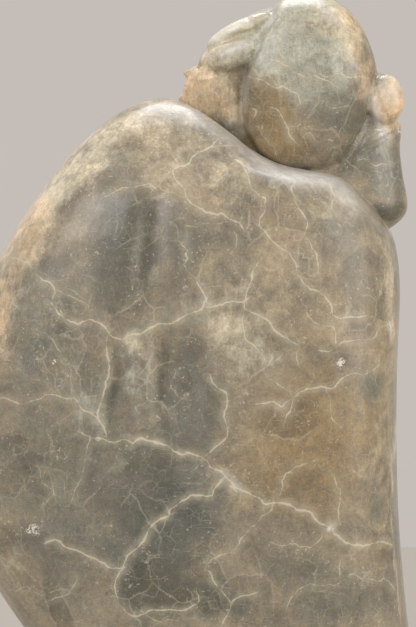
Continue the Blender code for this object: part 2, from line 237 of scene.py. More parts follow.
# Soft features in head heights: how far out, distance from the middle line, its spread, level, its spread
SOFT_FEATURES = [
    ("nose wings", 0.034, 0.050, 0.028, -0.135, 0.030),
    ("eye sockets", -0.050, 0.135, 0.075, 0.022, 0.052),
    ("eyes", 0.036, 0.150, 0.050, 0.012, 0.030),
    ("brows", 0.012, 0.140, 0.090, 0.098, 0.030),
    ("hollow under the lip", -0.014, 0.000, 0.090, -0.345, 0.026),
    ("chin", 0.014, 0.000, 0.080, -0.425, 0.045),
    ("cheeks", 0.012, 0.190, 0.075, -0.075, 0.080),
]
NOSE_BRIDGE = (0.060, 0.07, -0.06)
NOSE_TIP = (0.034, -0.03, -0.125)
NOSE_BASE = (-0.135, -0.175)
NOSE_HALF_WIDTH = (0.042, 0.066)
MOUTH_HALF_WIDTH = 0.125
LIPS = [
    (0.034, -0.236, 0.020),
    (0.034, -0.288, 0.023),
    (-0.014, -0.261, 0.008),
]

# Where the far side starts to differ, how squarely the front and back have to face away for that, over what
# length the patterns wander off, by how many pixels, and the seed of that
FAR_FROM_TO = (-0.025, 0.045)
EDGE_ON = (0.86, 0.97)
FAR_DRIFT_SIZE = 0.085
FAR_DRIFT = 60
FAR_DRIFT_SEED = 1

# Calcite veins. Lengths are in pixels of the photograph, 0.45 mm each
VEIN_SEED = 5
VEIN_GROUPS = 5
VEIN_STEP = 7
VEIN_CROOKEDNESS = 0.11
VEIN_CLEARANCE = 15
VEIN_REACH = 16
VEIN_REACH_FADES_FROM = 0.6
VEIN_END_FADE = (1, 6)
VEIN_WANDER = 3.6
VEIN_HALF_WIDTH = 0.80
VEIN_THINNEST = 0.05
VEIN_MARGIN = 9.0

# The veins' looks: how they waver and swell (size, detail, roughness), how much they swell, where a thread
# fades in half widths, the strength from which it shows in full, and how much thread and margin cover
VEIN_WAVER = (2.2 * MM, 5.0, 0.7)
VEIN_SWELL = (6 * MM, 3.0)
VEIN_SWELL_LEVELS = (0.3, 0.7, 0.35, 1.35)
VEIN_EDGE = (0.35, 1.5)
VEIN_BOLD_FROM = 1 / 1.5
VEIN_STRENGTH = 0.62
VEIN_MARGIN_STRENGTH = 0.42

# The nets of hairline veins: size, width and shift, then their strengths and the tones between them
NETS = [(17 * MM, 0.55 * MM, 0.0), (8 * MM, 0.30 * MM, 0.3), (3.6 * MM, 0.22 * MM, 0.7)]
NET_STRENGTHS = (0.25, 0.18, 0.16)
NET_TONES = ((0.86, 1.12), (0.94, 1.06))

# A net's bends and gaps: the bends' size and reach, and the gaps' size, as shares of the net's own size,
# then the levels of the gaps' pattern between which the lines come in
NET_BEND_SIZE = 0.6
NET_BEND_REACH = 0.42
NET_GAP_SIZE = 1.6
NET_SHOWS = (0.48, 0.62)

# The stone's patterns: size, detail, roughness, stretch, slant in degrees and warp. The blanket's grain runs
# upright, and the head's slants. Their mean is half, and the zones' edges are broken up by two of them
NOISE_MEAN = 0.5
RAGGED_WEIGHTS = {"mottle": 0.6, "grain": 0.4}
PATTERNS = {
    "broad": (26 * MM, 7.0, 0.62, (1, 1, 1), 0, 0.8),
    "mottle": (9 * MM, 6.0, 0.65, (1, 1, 1), 0, 0.6),
    "crumb": (3.5 * MM, 5.0, 0.75),
    "sugar": (0.9 * MM, 3.0, 0.7),
    "upright": (2.2 * MM, 5.0, 0.7, (1, 1, 2.6)),
    "slanting": (1.5 * MM, 5.0, 0.7, (1, 1, 4), 52),
}

# How far each of the stone's patterns darkens and lightens it: pattern, its low and high, the two shades
SHADING = [
    ("grain", 0.25, 0.75, 0.84, 1.16),
    ("mottle", 0.35, 0.65, 0.84, 1.15),
    ("broad", 0.35, 0.65, 0.90, 1.10),
    ("sugar", 0.28, 0.72, 0.78, 1.22),
    ("crumb", 0.32, 0.68, 0.86, 1.14),
]

# The levels of the broad clouds between which the ground's two colours meet, and those of a zone's share
# between which its ragged edge and its outer limit come in
GROUND_LEVELS = (0.38, 0.62)
ZONE_EDGE = (0.12, 0.88)
ZONE_LIMIT = (0.02, 0.12)

# The setting that makes a map range rise smoothly
SMOOTH = {"interpolation_type": "SMOOTHSTEP"}

# The last sanding's scratches: their slants in degrees, their pattern and the levels it shows between, the
# patches where they were left and those levels, and how much they cover
SCRATCH_SLANTS = (22, -38, 68)
SCRATCH = (0.45 * MM, 1.0, 0.5, (22, 1, 1))
SCRATCH_SHOWS = (0.67, 0.76)
SCRATCH_PATCHES = (11 * MM, 2.0)
SCRATCH_PATCHES_SHOW = (0.50, 0.66)
SCRATCH_STRENGTH = 0.24

# Pale flecks: their pattern, the clouds that crowd them, from the clouds' levels to the flecks', then how
# soft their edges are and how much they cover
FLECK = (1.3 * MM, 2.0, 0.5)
FLECK_CROWDS = (14 * MM, 3.0)
FLECK_LEVELS = (0.35, 0.7, 0.72, 0.61)
FLECK_EDGE = 0.05
FLECK_STRENGTH = 0.38

# The pale film of stone dust and worn wax, with the painted highlights laid in it: how patchy the ragged
# pattern makes it, and how much it covers
DUST_AND_HIGHLIGHT_PATCHES = (-0.12, 0.12, 0.55, 1.0)
DUST_AND_HIGHLIGHT_STRENGTH = 0.92

# The file strokes that roughen the hair's binding: their slants in degrees, their pattern, the levels it
# shows between, and how much they cover
HATCH_SLANTS = (-52, 38)
HATCH = (0.55 * MM, 2.0, 0.6, (7, 1, 1))
HATCH_SHOWS = (0.47, 0.58)
HATCH_STRENGTH = 0.80

# The levels of the sugary grain that break up a chip's edge, and those that a chip shows between
CHIP_BROKEN = (0.35, 0.6)
CHIP_SHOWS = (0.1, 0.5)

# Alabaster's roughness, from two levels of its mottle, and what the pale dust film with its painted
# highlights and the sugary grain add to it
ALABASTER_ROUGHNESS = (0.3, 0.7, 0.24, 0.34)
DUST_AND_HIGHLIGHT_ROUGHNESS = 0.15
SUGAR_ROUGHNESS = 0.08

# How much each pattern stands up in the stone's fine relief, and that relief's strength and depth
RELIEF_WEIGHTS = {"sugar": 0.5, "grain": 0.6, "thread": 0.25, "hatch": 2.0, "chips": -1.5}
FINE_RELIEF = {"Strength": 0.35, "Distance": 0.25 * MM}

# How light takes to the stone: it sinks in by some 4 mm, red furthest, under a thin coat of wax
ALABASTER_FINISH = {
    "IOR": 1.52,
    "Subsurface Weight": 0.22,
    "Subsurface Radius": (1.0, 0.8, 0.55),
    "Subsurface Scale": 4 * MM,
    "Coat Weight": 0.30,
    "Coat Roughness": 0.20,
}

# Soapstone: its grain, its clouds and the size, width and shift of its wisps, then its ground colours, and
# what wisps, specks and pits cover, with their colours. Then the levels of clouds and grain between which
# the second ground colour, the specks and the pits come in, and the finish
SOAPSTONE_GRAIN = (1.4 * MM, 4.0, 0.7)
SOAPSTONE_CLOUDS = (30 * MM, 6.0, 0.6, (1, 1, 1), 0, 1.0)
SOAPSTONE_WISPS = (34 * MM, 0.9 * MM, 0.6)
SOAPSTONE_GROUND = ("#45453f", "#5b5a53")
WISP_COLOUR = (0.45, "#9a978b")
SPECK_COLOUR = (0.25, "#8a877b")
PIT_COLOUR = (0.35, "#35352f")
SOAPSTONE_PALE = (0.35, 0.65)
SPECK_LEVELS = (0.60, 0.72)
PIT_LEVELS = (0.45, 0.30)
SOAPSTONE_ROUGHNESS = (0.3, 0.7, 0.46, 0.62)
SOAPSTONE_RELIEF = {"Strength": 0.3, "Distance": 0.15 * MM}
SOAPSTONE_IOR = 1.55

# The main veins: strength, then the turning points of the route
VEINS = [
    (0.9, (215, 142), (198, 152), (171, 171), (186, 197), (193, 205), (222, 213), (243, 228)),
    (0.5, (171, 171), (157, 175), (143, 176)),
    (0.7, (97, 208), (118, 190), (136, 186), (154, 187)),
    (0.9, (178, 236), (184, 266), (198, 284), (206, 300)),
    (1.0, (206, 300), (202, 311), (178, 320), (154, 325), (142, 333), (123, 340), (111, 336), (103, 325),
     (91, 319), (79, 324), (63, 317), (49, 301)),
    (0.7, (14, 258), (42, 280), (56, 290), (52, 303), (63, 317)),
    (0.5, (56, 290), (72, 297), (90, 307), (104, 326)),
    (0.9, (206, 307), (222, 305), (237, 302), (246, 300)),
    (0.8, (246, 300), (249, 286), (258, 263)),
    (0.7, (244, 304), (243, 328), (257, 349)),
    (0.9, (107, 338), (109, 361), (108, 379), (103, 398), (98, 416)),
    (0.8, (236, 160), (248, 175), (251, 188), (265, 197), (266, 211), (259, 227), (278, 246), (296, 263),
     (303, 282), (319, 292), (332, 313), (345, 318), (364, 316)),
    (0.7, (294, 184), (305, 217), (304, 232), (315, 251), (318, 272)),
    (0.6, (330, 186), (335, 196), (332, 209)),
    (0.8, (246, 309), (263, 318), (277, 332), (290, 341), (301, 346), (298, 362)),
    (0.7, (307, 314), (332, 326), (336, 341)),
    (0.7, (322, 351), (334, 350), (342, 342), (368, 339), (389, 324)),
    (0.9, (211, 378), (227, 401), (227, 424), (220, 443), (203, 458)),
    (0.5, (227, 401), (248, 392)),
    (0.8, (257, 404), (273, 401), (282, 408), (294, 398), (305, 389), (319, 386), (332, 389), (351, 374),
     (363, 376), (378, 366)),
    (0.6, (294, 398), (284, 425)),
    (0.5, (326, 389), (340, 426)),
    (0.5, (267, 376), (294, 398)),
    (0.5, (269, 349), (267, 366)),
    (0.8, (0, 398), (21, 404), (40, 399), (74, 398), (88, 412), (98, 419), (106, 435)),
    (1.2, (98, 438), (119, 441), (143, 438), (159, 443), (175, 452), (203, 458), (210, 467), (225, 476),
     (234, 487)),
    (1.1, (234, 487), (252, 495), (281, 503), (313, 517), (331, 527), (340, 538), (353, 545), (372, 544),
     (393, 545)),
    (1.1, (223, 479), (191, 495), (159, 520), (138, 548), (123, 568)),
    (1.0, (123, 568), (93, 558), (70, 549), (48, 542)),
    (0.8, (123, 568), (115, 583), (119, 605), (130, 615), (164, 610), (191, 607)),
    (0.7, (273, 503), (268, 514), (255, 525), (236, 548), (204, 568), (215, 583), (231, 602)),
    (0.7, (255, 593), (231, 602), (225, 618), (219, 634)),
    (0.6, (281, 491), (287, 472), (305, 464)),
    (0.6, (340, 562), (340, 583), (318, 586), (295, 594), (287, 607)),
    (0.6, (77, 575), (69, 594), (48, 601)),
    (0.6, (90, 438), (85, 469), (73, 497)),
    (0.5, (340, 583), (352, 572), (372, 583)),
    (0.5, (106, 435), (92, 438), (77, 431)),
    (0.5, (176, 372), (168, 384), (184, 399)),
    (0.5, (203, 458), (196, 468), (181, 470)),
    (0.8, (274, 60), (292, 71), (307, 78), (336, 86)),
    (0.7, (322, 75), (340, 73), (354, 77)),
    (0.8, (251, 77), (263, 80), (274, 88), (291, 91), (300, 101)),
    (0.8, (273, 108), (282, 117), (289, 129), (297, 144)),
    (0.6, (244, 98), (256, 110), (254, 118)),
    (0.5, (246, 125), (262, 135), (274, 147), (277, 158)),
    (0.5, (305, 134), (318, 142), (330, 140)),
    (0.6, (232, 88), (222, 84), (238, 97)),
    (0.6, (196, 103), (207, 92), (223, 94)),
    (0.5, (382, 93), (392, 94), (402, 92)),
    (0.5, (360, 158), (376, 164), (388, 162)),
    (0.5, (37, 330), (63, 357), (72, 370), (72, 390)),
    (0.4, (20, 370), (38, 380), (53, 390)),
    (0.4, (63, 287), (87, 303), (90, 317)),
    (0.4, (232, 227), (236, 248), (235, 270)),
    (0.5, (332, 475), (340, 490), (340, 523)),
    (0.5, (273, 543), (296, 544), (312, 549), (322, 534)),
    (0.6, (370, 579), (383, 578), (393, 587)),
    (0.4, (38, 466), (44, 484), (56, 500)),
    (0.4, (188, 226), (208, 223), (230, 222)),
    (0.5, (197, 592), (200, 604), (191, 607)),
    (0.5, (143, 612), (160, 622), (196, 618), (206, 624)),
    (0.4, (8, 590), (40, 596), (70, 590)),
    (0.4, (274, 362), (284, 352), (302, 350)),
    (0.4, (262, 30), (276, 44), (283, 58)),
    (0.4, (318, 100), (330, 108), (346, 106)),
]

# How steeply a patch fades at its edge, and how the zones' edges are broken up: the size of the wandering in
# metres, its seed and its reach in pixels
PATCH_STEEPNESS = 1.15
RAGGED_EDGES = [(0.014, 3, 9), (0.005, 4, 4)]

# Patches of the zones, which take ragged edges: middle column and row, half sizes, turn and strength. Some
# lay painted shade or painted glow besides the stone's colours. First those of the blanket, then those of the
# head
ZONES = {
    "brown": ([
        (325, 440, 75, 95, 0, 0.75), (372, 290, 26, 60, 0, 0.30), (265, 470, 45, 50, 0, 0.45),
        (275, 225, 45, 40, 20, 0.35), (300, 320, 40, 40, 0, 0.30), (60, 445, 40, 30, 0, 0.40),
        (100, 215, 40, 30, 0, 0.35), (20, 590, 24, 30, 0, 0.35), (130, 280, 24, 16, 0, 0.35),
        (60, 350, 20, 40, 0, 0.3), (222, 185, 30, 30, 0, 0.3),
    ], [
        (268, 116, 27, 40, -20, 0.95), (285, 150, 45, 18, 0, 0.75), (228, 118, 26, 22, 0, 0.6),
        (345, 90, 25, 25, 0, 0.3), (228, 62, 16, 8, -20, 0.5),
    ]),
    "grey": ([
        (95, 450, 130, 190, 0, 0.55), (122, 242, 38, 70, 6, 0.85), (185, 240, 26, 42, 0, 0.5),
        (30, 325, 44, 90, 0, 0.45), (190, 395, 30, 62, 0, 0.55), (150, 520, 80, 80, 0, 0.5),
        (190, 600, 100, 34, 0, 0.5), (45, 510, 44, 60, 0, 0.4), (350, 600, 70, 40, 0, 0.6),
        (376, 385, 12, 22, 0, 0.7), (373, 500, 8, 40, 0, 0.5), (357, 220, 24, 46, 0, 0.5),
        (232, 240, 14, 22, 0, 0.35), (300, 560, 50, 40, 0, 0.35), (260, 350, 60, 70, 0, 0.25),
    ], [
        (300, 56, 60, 46, 25, 0.32), (335, 105, 36, 42, 0, 0.60), (365, 150, 24, 32, 0, 0.6),
        (390, 170, 26, 46, 0, 0.70), (238, 55, 14, 22, 25, 0.3),
    ]),
    # Darker stone on the blanket, where the streaks along the folds' hollows are partly painted shade; on the
    # head, painted shadow on the lower right of the hair mass, in the hollow between it and the knot, under
    # the knot's lower end and below the lower lock, and three thin streaks of the hair's own grain
    "dark_stone_and_shade": ([
        (150, 246, 9, 58, 4, 0.75), (122, 255, 26, 50, 8, 0.60), (109, 392, 7, 66, 2, 0.60),
        (163, 395, 7, 70, -2, 0.65), (208, 408, 9, 50, 0, 0.35), (150, 465, 50, 22, 0, 0.45),
        (155, 585, 44, 34, 0, 0.6), (176, 250, 7, 44, 0, 0.35), (128, 218, 16, 24, 0, 0.4),
        (54, 345, 20, 50, 0, 0.4), (376, 388, 9, 14, 0, 0.4), (365, 590, 24, 24, 0, 0.35),
        (42, 480, 18, 30, 0, 0.40), (340, 500, 14, 40, 0, 0.25), (130, 515, 46, 40, 0, 0.4),
        (190, 330, 30, 16, -20, 0.25), (232, 505, 16, 20, 0, 0.25), (205, 602, 40, 18, 0, 0.6),
        (118, 300, 14, 22, 0, 0.3), (205, 240, 12, 26, 10, 0.25), (20, 460, 16, 40, 0, 0.2),
    ], [
        (342, 158, 22, 17, -30, 0.65), (384, 212, 20, 14, -40, 0.9), (352, 120, 12, 26, 0, 0.25),
        (316, 40, 20, 6, 28, 0.30), (306, 72, 40, 7, 18, 0.32), (340, 98, 24, 8, 22, 0.30),
        (250, 72, 5, 14, 0, 0.3),
    ]),
    # Pale yellow stone, and along the thin left and right edges of the blanket a painted glow of light
    # shining through the stone
    "cream_and_glow": ([
        (150, 116, 66, 15, -8, 0.30), (95, 152, 44, 16, -38, 0.80), (48, 200, 34, 14, -50, 0.80),
        (14, 246, 40, 18, -65, 0.60), (36, 240, 36, 18, -60, 0.40), (6, 320, 14, 50, 0, 0.40),
        (20, 300, 20, 40, 0, 0.20), (384, 270, 12, 44, 0, 0.35), (394, 290, 8, 60, 0, 0.7),
        (396, 430, 6, 80, 0, 0.65), (402, 560, 8, 60, -6, 0.6), (230, 184, 34, 26, 0, 0.38),
        (190, 150, 60, 26, 12, 0.30), (226, 328, 28, 20, 0, 0.60),
        (137, 344, 10, 9, 0, 0.6), (137, 368, 14, 38, 0, 0.24), (250, 355, 36, 30, 0, 0.3),
        (345, 205, 30, 30, 20, 0.35), (238, 290, 16, 12, 0, 0.4), (15, 560, 16, 30, 0, 0.30),
        (240, 440, 20, 20, 0, 0.2), (380, 450, 12, 90, 0, 0.30), (365, 470, 14, 20, 0, 0.3),
    ], [
        (290, 12, 50, 26, 0, 0.55), (230, 34, 36, 16, -32, 0.95), (226, 50, 22, 8, -24, 0.35),
        (344, 40, 20, 40, -14, 0.80), (205, 86, 30, 28, 0, 0.60), (258, 45, 12, 26, 20, 0.4),
        (390, 98, 19, 28, 0, 0.95), (226, 118, 20, 24, 0, 0.58), (280, 50, 30, 34, 0, 0.35),
    ]),
    "sage": ([
        (250, 350, 50, 40, 0, 0.25), (137, 372, 16, 40, 0, 0.35), (190, 300, 40, 30, -20, 0.25),
        (90, 400, 30, 60, 0, 0.25),
    ], [
        (300, 52, 48, 42, 20, 0.72), (332, 82, 40, 32, 0, 0.42), (234, 44, 34, 20, -30, 0.42),
        (272, 36, 20, 40, 24, 0.60), (388, 160, 20, 34, 0, 0.25), (290, 6, 40, 10, 0, 0.40),
    ]),
    "slate": ([
        (150, 462, 46, 30, 0, 0.60), (155, 585, 46, 34, 0, 0.60), (190, 398, 24, 52, 0, 0.50),
        (168, 518, 64, 46, -30, 1.00), (205, 602, 64, 24, 0, 0.75), (50, 350, 30, 60, 0, 0.25),
        (122, 240, 22, 50, 5, 0.30), (372, 500, 10, 50, 0, 0.25),
    ], [
        (308, 36, 26, 14, 25, 0.30), (322, 96, 34, 22, 15, 0.30), (362, 150, 22, 26, 0, 0.30),
    ]),
    # Pinkish honey stone on the face and the blanket, and a painted glow of light shining through the thin
    # edges at the blanket's sides, the knot's top and the hair's right edge
    "peach_and_glow": ([
        (36, 214, 28, 12, -52, 0.45), (24, 250, 42, 20, -62, 0.55), (4, 325, 14, 50, 0, 0.35),
        (85, 165, 26, 10, -40, 0.25), (395, 295, 5, 48, 0, 0.60), (22, 400, 14, 20, 0, 0.15),
        (3, 310, 8, 34, 0, 0.40), (250, 262, 26, 20, 0, 0.12), (300, 520, 40, 20, 0, 0.12),
    ], [
        (358, 50, 12, 40, -14, 0.42), (391, 100, 16, 26, 0, 0.80), (402, 100, 5, 30, 0, 0.80),
        (194, 90, 26, 32, 0, 0.70), (352, 15, 20, 14, 0, 0.35), (365, 82, 10, 20, 0, 0.35),
        (226, 104, 18, 24, 0, 0.40),
    ]),
}

# Patches whose edges stay as they are: a pale film of stone dust and worn wax along the lip, with painted
# highlights on the hump, the locks and the top of the hair mass, the file strokes of the binding, and chips
SHARP_ZONES = {
    "dust_and_highlight": ([
        (225, 134, 17, 8, 30, 0.40), (243, 147, 15, 8, 42, 0.60), (258, 158, 15, 8, 38, 0.75),
        (275, 168, 18, 9, 25, 0.90), (297, 173, 24, 11, 8, 0.97), (322, 176, 22, 12, 4, 0.92),
        (341, 184, 16, 12, 40, 0.65), (352, 200, 12, 14, 45, 0.40), (200, 121, 22, 7, 22, 0.25),
        (182, 118, 26, 8, 12, 0.2), (340, 220, 16, 16, 0, 0.2), (196, 112, 14, 3, 27, 0.5),
        (214, 121, 12, 3, 30, 0.5), (234, 135, 12, 3, 34, 0.6), (163, 120, 24, 4, -12, 0.20),
        (282, 406, 8, 5, -30, 0.30), (206, 300, 5, 9, 0, 0.22), (227, 477, 11, 6, 30, 0.30),
        (331, 527, 6, 6, 0, 0.40), (123, 568, 5, 5, 0, 0.28), (98, 420, 5, 5, 0, 0.25),
        (235, 487, 9, 5, 30, 0.25), (186, 236, 4, 12, -10, 0.15), (137, 385, 10, 30, 0, 0.10),
    ], [
        (374, 108, 4, 24, -18, 0.75), (382, 133, 12, 9, 30, 0.36), (225, 33, 18, 5, -36, 0.4),
        (232, 52, 16, 4, -20, 0.45), (268, 25, 20, 2.5, -46, 0.5), (246, 90, 3, 40, 2, 0.35),
        (213, 41, 8, 4, -40, 0.50), (242, 23, 12, 4, -28, 0.60), (240, 46, 16, 5, -24, 0.55),
        (389, 90, 13, 16, 0, 0.50), (220, 64, 7, 3, -10, 0.15),
        (236, 128, 10, 8, 30, 0.3), (330, 16, 12, 7, 50, 0.40),
    ]),
    "binding": ([], [
        (382, 129, 15, 15, -28, 0.95), (370, 112, 7, 20, 10, 0.5), (388, 162, 18, 30, 0, 0.35),
    ]),
    "chips": ([
        (341, 363, 4, 5, 0, 1.0), (32, 529, 6, 4, -30, 0.9), (38, 533, 3, 3, 0, 0.7),
        (390, 326, 3, 4, 0, 0.9), (55, 362, 3, 3, 0, 0.6), (184, 310, 3, 2, 0, 0.4),
        (330, 528, 4, 4, 0, 0.5),
    ], [
        (254, 24, 2.5, 3, 0, 0.5), (250, 57, 2, 3, 0, 0.8), (398, 126, 2.5, 3, 0, 0.9),
    ]),
}

# Soft hollows and swellings rubbed into the blanket: places as above, the last value in millimetres
FOLDS = [
    (148, 246, 14, 50, 8, -1.6), (110, 388, 8, 58, 2, -1.5), (162, 388, 10, 62, -2, -1.8),
    (208, 405, 11, 48, 0, -0.8), (136, 372, 15, 50, 0, 1.2), (128, 250, 12, 52, 5, 0.7),
    (182, 250, 18, 55, 0, 0.5), (187, 395, 13, 52, 0, 0.5), (240, 335, 44, 34, 0, 0.6),
    (60, 400, 14, 90, 4, -0.6), (85, 380, 12, 80, 3, 0.3), (300, 300, 30, 60, -20, 0.4),
    (150, 520, 60, 30, -30, -0.6), (270, 560, 50, 30, 20, 0.5), (350, 440, 30, 80, 0, -0.4),
    (341, 363, 3, 4, 0, -0.7), (32, 529, 5, 3.5, -30, -0.7), (390, 326, 3, 4, 0, -0.8),
]

# Creases cut into the hair: depth in millimetres, half width, then the route. Negative depths stand proud
HAIR_CREASES = [
    (1.5, 2.6, (203, 50), (212, 46), (226, 40), (240, 35), (254, 31)),
    (1.2, 2.2, (247, 17), (252, 23), (257, 30)),
    (-0.8, 2.2, (228, 33), (240, 29), (250, 28)),
    (0.5, 1.8, (216, 37), (232, 27), (243, 20)),
    (0.4, 1.8, (222, 53), (236, 45), (250, 41)),
    (0.5, 2.0, (218, 62), (230, 58), (244, 51), (252, 46)),
    (0.7, 2.6, (374, 83), (377, 96), (382, 110), (390, 124), (396, 128)),
    (0.6, 2.4, (403, 128), (392, 134), (380, 142), (368, 148), (356, 158)),
    (-0.5, 2.2, (401, 124), (390, 130), (379, 136), (366, 142)),
    (0.5, 2.6, (368, 128), (360, 145), (350, 158), (340, 165)),
    (1.1, 2.2, (276, 17), (263, 35), (254, 55), (246, 72), (241, 90), (240, 112), (244, 130), (254, 148)),
    (-0.5, 2.0, (279, 20), (267, 37), (258, 57), (250, 74), (245, 92), (244, 111), (249, 130), (258, 146)),
]

# The stone's own colours, in daylight, and those of the painted shade, painted glow and painted highlights
# laid with some of its zones
GROUND = ("#898170", "#9f927a")
ZONE_COLOURS = {
    "brown": ("#8f7d5d", 1.6),
    "grey": ("#737267", 2.0),
    # Pale yellow stone, also laid as painted glow along thin edges
    "cream_and_glow": ("#d4c9af", 1.1),
    "sage": ("#b0b2a3", 1.9),
    "slate": ("#64665e", 1.6),
    # Darker stone, and painted shade and shadow
    "dark_stone_and_shade": ("#5c5b4c", 2.0),
    # Pinkish honey stone, also laid as painted glow along thin edges
    "peach_and_glow": ("#e5c7a0", 0.7),
}
VEIN_COLOUR = "#dad3bd"
VEIN_MARGIN_COLOUR = "#bcb49d"
FLECK_COLOUR = "#dcd6c6"
# Pale white: of the dust film, of the painted highlights laid with it, and of the file strokes
PALE_WHITE_COLOUR = "#e2e1de"
CHIP_COLOUR = "#e6e2d6"

# The face's fine lines in head heights, cut on both sides: depth, half width, then the route from the
# middle line outwards as distance and level
FACE_LINES = [
    ("lash line", 0.012, 0.013, (0.078, 0.004), (0.110, -0.009), (0.150, -0.014), (0.190, -0.007),
     (0.226, 0.008)),
    ("lid crease", 0.008, 0.011, (0.078, 0.028), (0.110, 0.046), (0.150, 0.053), (0.190, 0.045),
     (0.222, 0.028)),
    ("nostril", 0.016, 0.015, (0.028, -0.170), (0.044, -0.166)),
    ("nose wing", 0.009, 0.012, (0.076, -0.100), (0.084, -0.128), (0.068, -0.156)),
    ("mouth", 0.013, 0.010, (0.000, -0.263), (0.050, -0.261), (0.090, -0.259), (0.120, -0.254)),
    ("philtrum", 0.005, 0.012, (0.000, -0.188), (0.000, -0.222)),
]

# Where the face gets a finer skin (how far forward, how far to the sides, lowest and highest level), and
# over what stretch forward its cuts fade in, all in head heights from the head's middle
FACE_CUT_AREA = (0.18, 0.27, -0.36, 0.14)
FACE_CUT_DEPTHS = (0.1, 0.2)

# How fast folds and creases fade where the skin turns away from her sides
RELIEF_FADE = 0.5

# The studio: the table's size, middle and finish, the backdrop's colour, then each light's name, place, size,
# power and colour
TABLE_SIZE = (4, 3, 0.04)
TABLE_PLACE = (0, -0.97, -0.02)
TABLE_COLOUR = "#b6b1a8"
TABLE_ROUGHNESS = 0.6
BACKDROP_COLOUR = "#c5beb8"
SOFTBOXES = [
    ("window", (-0.75, -1.05, 1.05), 0.9, 8.0, "#fbfbff"),
    ("overhead", (-0.05, 0.35, 1.25), 0.6, 7.5, "#f8faff"),
    ("fill", (1.10, -1.10, 0.60), 1.2, 11.0, "#fff8ee"),
]


def smooth_step(value, low, high):
    """0 below low, 1 above high, and a smooth rise between."""
    share = np.clip((value - low) / (high - low), 0, 1)
    return share * share * (3 - 2 * share)


def bump(distance, half_width):
    """1 at no distance, falling away like a bell."""
    return np.exp(-((distance / half_width) ** 2))


def smooth_rows(rows, steps):
    """Rows of numbers with steps - 1 more between each two, on a smooth curve through them all."""
    rows = np.array(rows, float)
    made = []
    for index in range(len(rows) - 1):
        before, here, there = rows[max(index - 1, 0)], rows[index], rows[index + 1]
        after = rows[min(index + 2, len(rows) - 1)]
        bend = 2 * before - 5 * here + 4 * there - after
        twist = 3 * here - before - 3 * there + after
        for t in np.arange(steps) / steps:
            made.append(0.5 * (2 * here + (there - before) * t + bend * t * t + twist * t ** 3))
    made.append(rows[-1])
    return made


def section(turn, front, middle, back, half_width, squareness):
    """Points of a level section, widest at its middle. Turn 0 is its front, a quarter turn its +Y side."""
    ahead = np.cos(turn) > 0
    reach = np.where(ahead, middle - front, back - middle)
    power = 2 / np.where(ahead, *squareness)
    along = np.sign(np.cos(turn)) * np.abs(np.cos(turn)) ** power
    across = np.sign(np.sin(turn)) * np.abs(np.sin(turn)) ** power
    return middle - reach * along, half_width * across


def figure_place(place):
    """Points given in shares of the figure's height, in metres."""
    return np.asarray(place, float) * HEIGHT + (0, 0, BED)


def new_object(name, mesh):
    """An object at the origin that shows the mesh."""
    made = bpy.data.objects.new(name, mesh)
    bpy.context.scene.collection.objects.link(made)
    return made


def loft(name, rings):
    """A closed skin through rings of points that all have the same count, capped flat at both ends."""
    count, last = len(rings[0]), (len(rings) - 1) * len(rings[0])
    points = np.concatenate(rings)
    faces = []
    for ring in range(0, last, count):
        for column in range(count):
            here, there = ring + column, ring + (column + 1) % count
            faces.append((here, there, there + count, here + count))
    caps = [tuple(range(count))[::-1], tuple(range(last, last + count))]
    mesh = bpy.data.meshes.new(name)
    mesh.from_pydata(points.tolist(), [], faces + caps)
    made = new_object(name, mesh)
    face_out(made)
    return made


def only(target):
    """Selects one object alone and makes it active."""
    bpy.ops.object.select_all(action="DESELECT")
    target.select_set(True)
    bpy.context.view_layer.objects.active = target


def face_out(target):
    """Turns all the faces of a closed mesh outwards."""
    only(target)
    bpy.ops.object.mode_set(mode="EDIT")
    bpy.ops.mesh.select_all(action="SELECT")
    bpy.ops.mesh.normals_make_consistent(inside=False)
    bpy.ops.object.mode_set(mode="OBJECT")


def modify(target, kind, **settings):
    """Adds a modifier and applies it."""
    only(target)
    modifier = target.modifiers.new(kind.title(), kind)
    for key, value in settings.items():
        setattr(modifier, key, value)
    bpy.ops.object.modifier_apply(modifier=modifier.name)


def join(pieces):
    """Joins the pieces into the first of them."""
    bpy.ops.object.select_all(action="DESELECT")
    for piece in pieces:
        piece.select_set(True)
    bpy.context.view_layer.objects.active = pieces[0]
    bpy.ops.object.join()
    return pieces[0]


def vertices_of(target):
    """The mesh's points as an array."""
    points = np.empty(len(target.data.vertices) * 3, np.float32)
    target.data.vertices.foreach_get("co", points)
    return points.reshape(-1, 3).astype(float)


def set_vertices(target, points):
    """Puts the mesh's points back from an array."""
    target.data.vertices.foreach_set("co", np.ascontiguousarray(points, np.float32).ravel())
    target.data.update()


def normals_of(target):
    """The mesh's vertex normals as an array."""
    normals = np.empty(len(target.data.vertices) * 3, np.float32)
    target.data.vertex_normals.foreach_get("vector", normals)
    return normals.reshape(-1, 3).astype(float)


def ball(name, form, squareness=2.0, side=1, turn_z=0.0, taper=0.0, segments=(64, 40)):
    """An ellipsoid with its poles on Y, or a cushion where squareness is over 2. side is -1 for her left."""
    place, half_sizes, turn = form
    bpy.ops.object.select_all(action="DESELECT")
    bpy.ops.mesh.primitive_uv_sphere_add(segments=segments[0], ring_count=segments[1], radius=1)
    made = bpy.context.object
    made.name = name
    points = vertices_of(made)[:, [0, 2, 1]] * (1, -1, 1)
    size = np.hypot(points[:, 0], points[:, 2]) ** squareness + np.abs(points[:, 1]) ** squareness
    size = size[:, None] ** (1 / squareness)
    thin = 1 - taper * (points[:, :1] + 1) / 2
    points = points / size * np.array(half_sizes) * HEIGHT
    points[:, 1:] *= thin
    turned = Matrix.Rotation(side * turn_z, 3, "Z") @ Matrix.Rotation(math.radians(turn), 3, "Y")
    points = points @ np.array(turned).T + figure_place((place[0], side * place[1], place[2]))
    set_vertices(made, points)
    face_out(made)
    return made


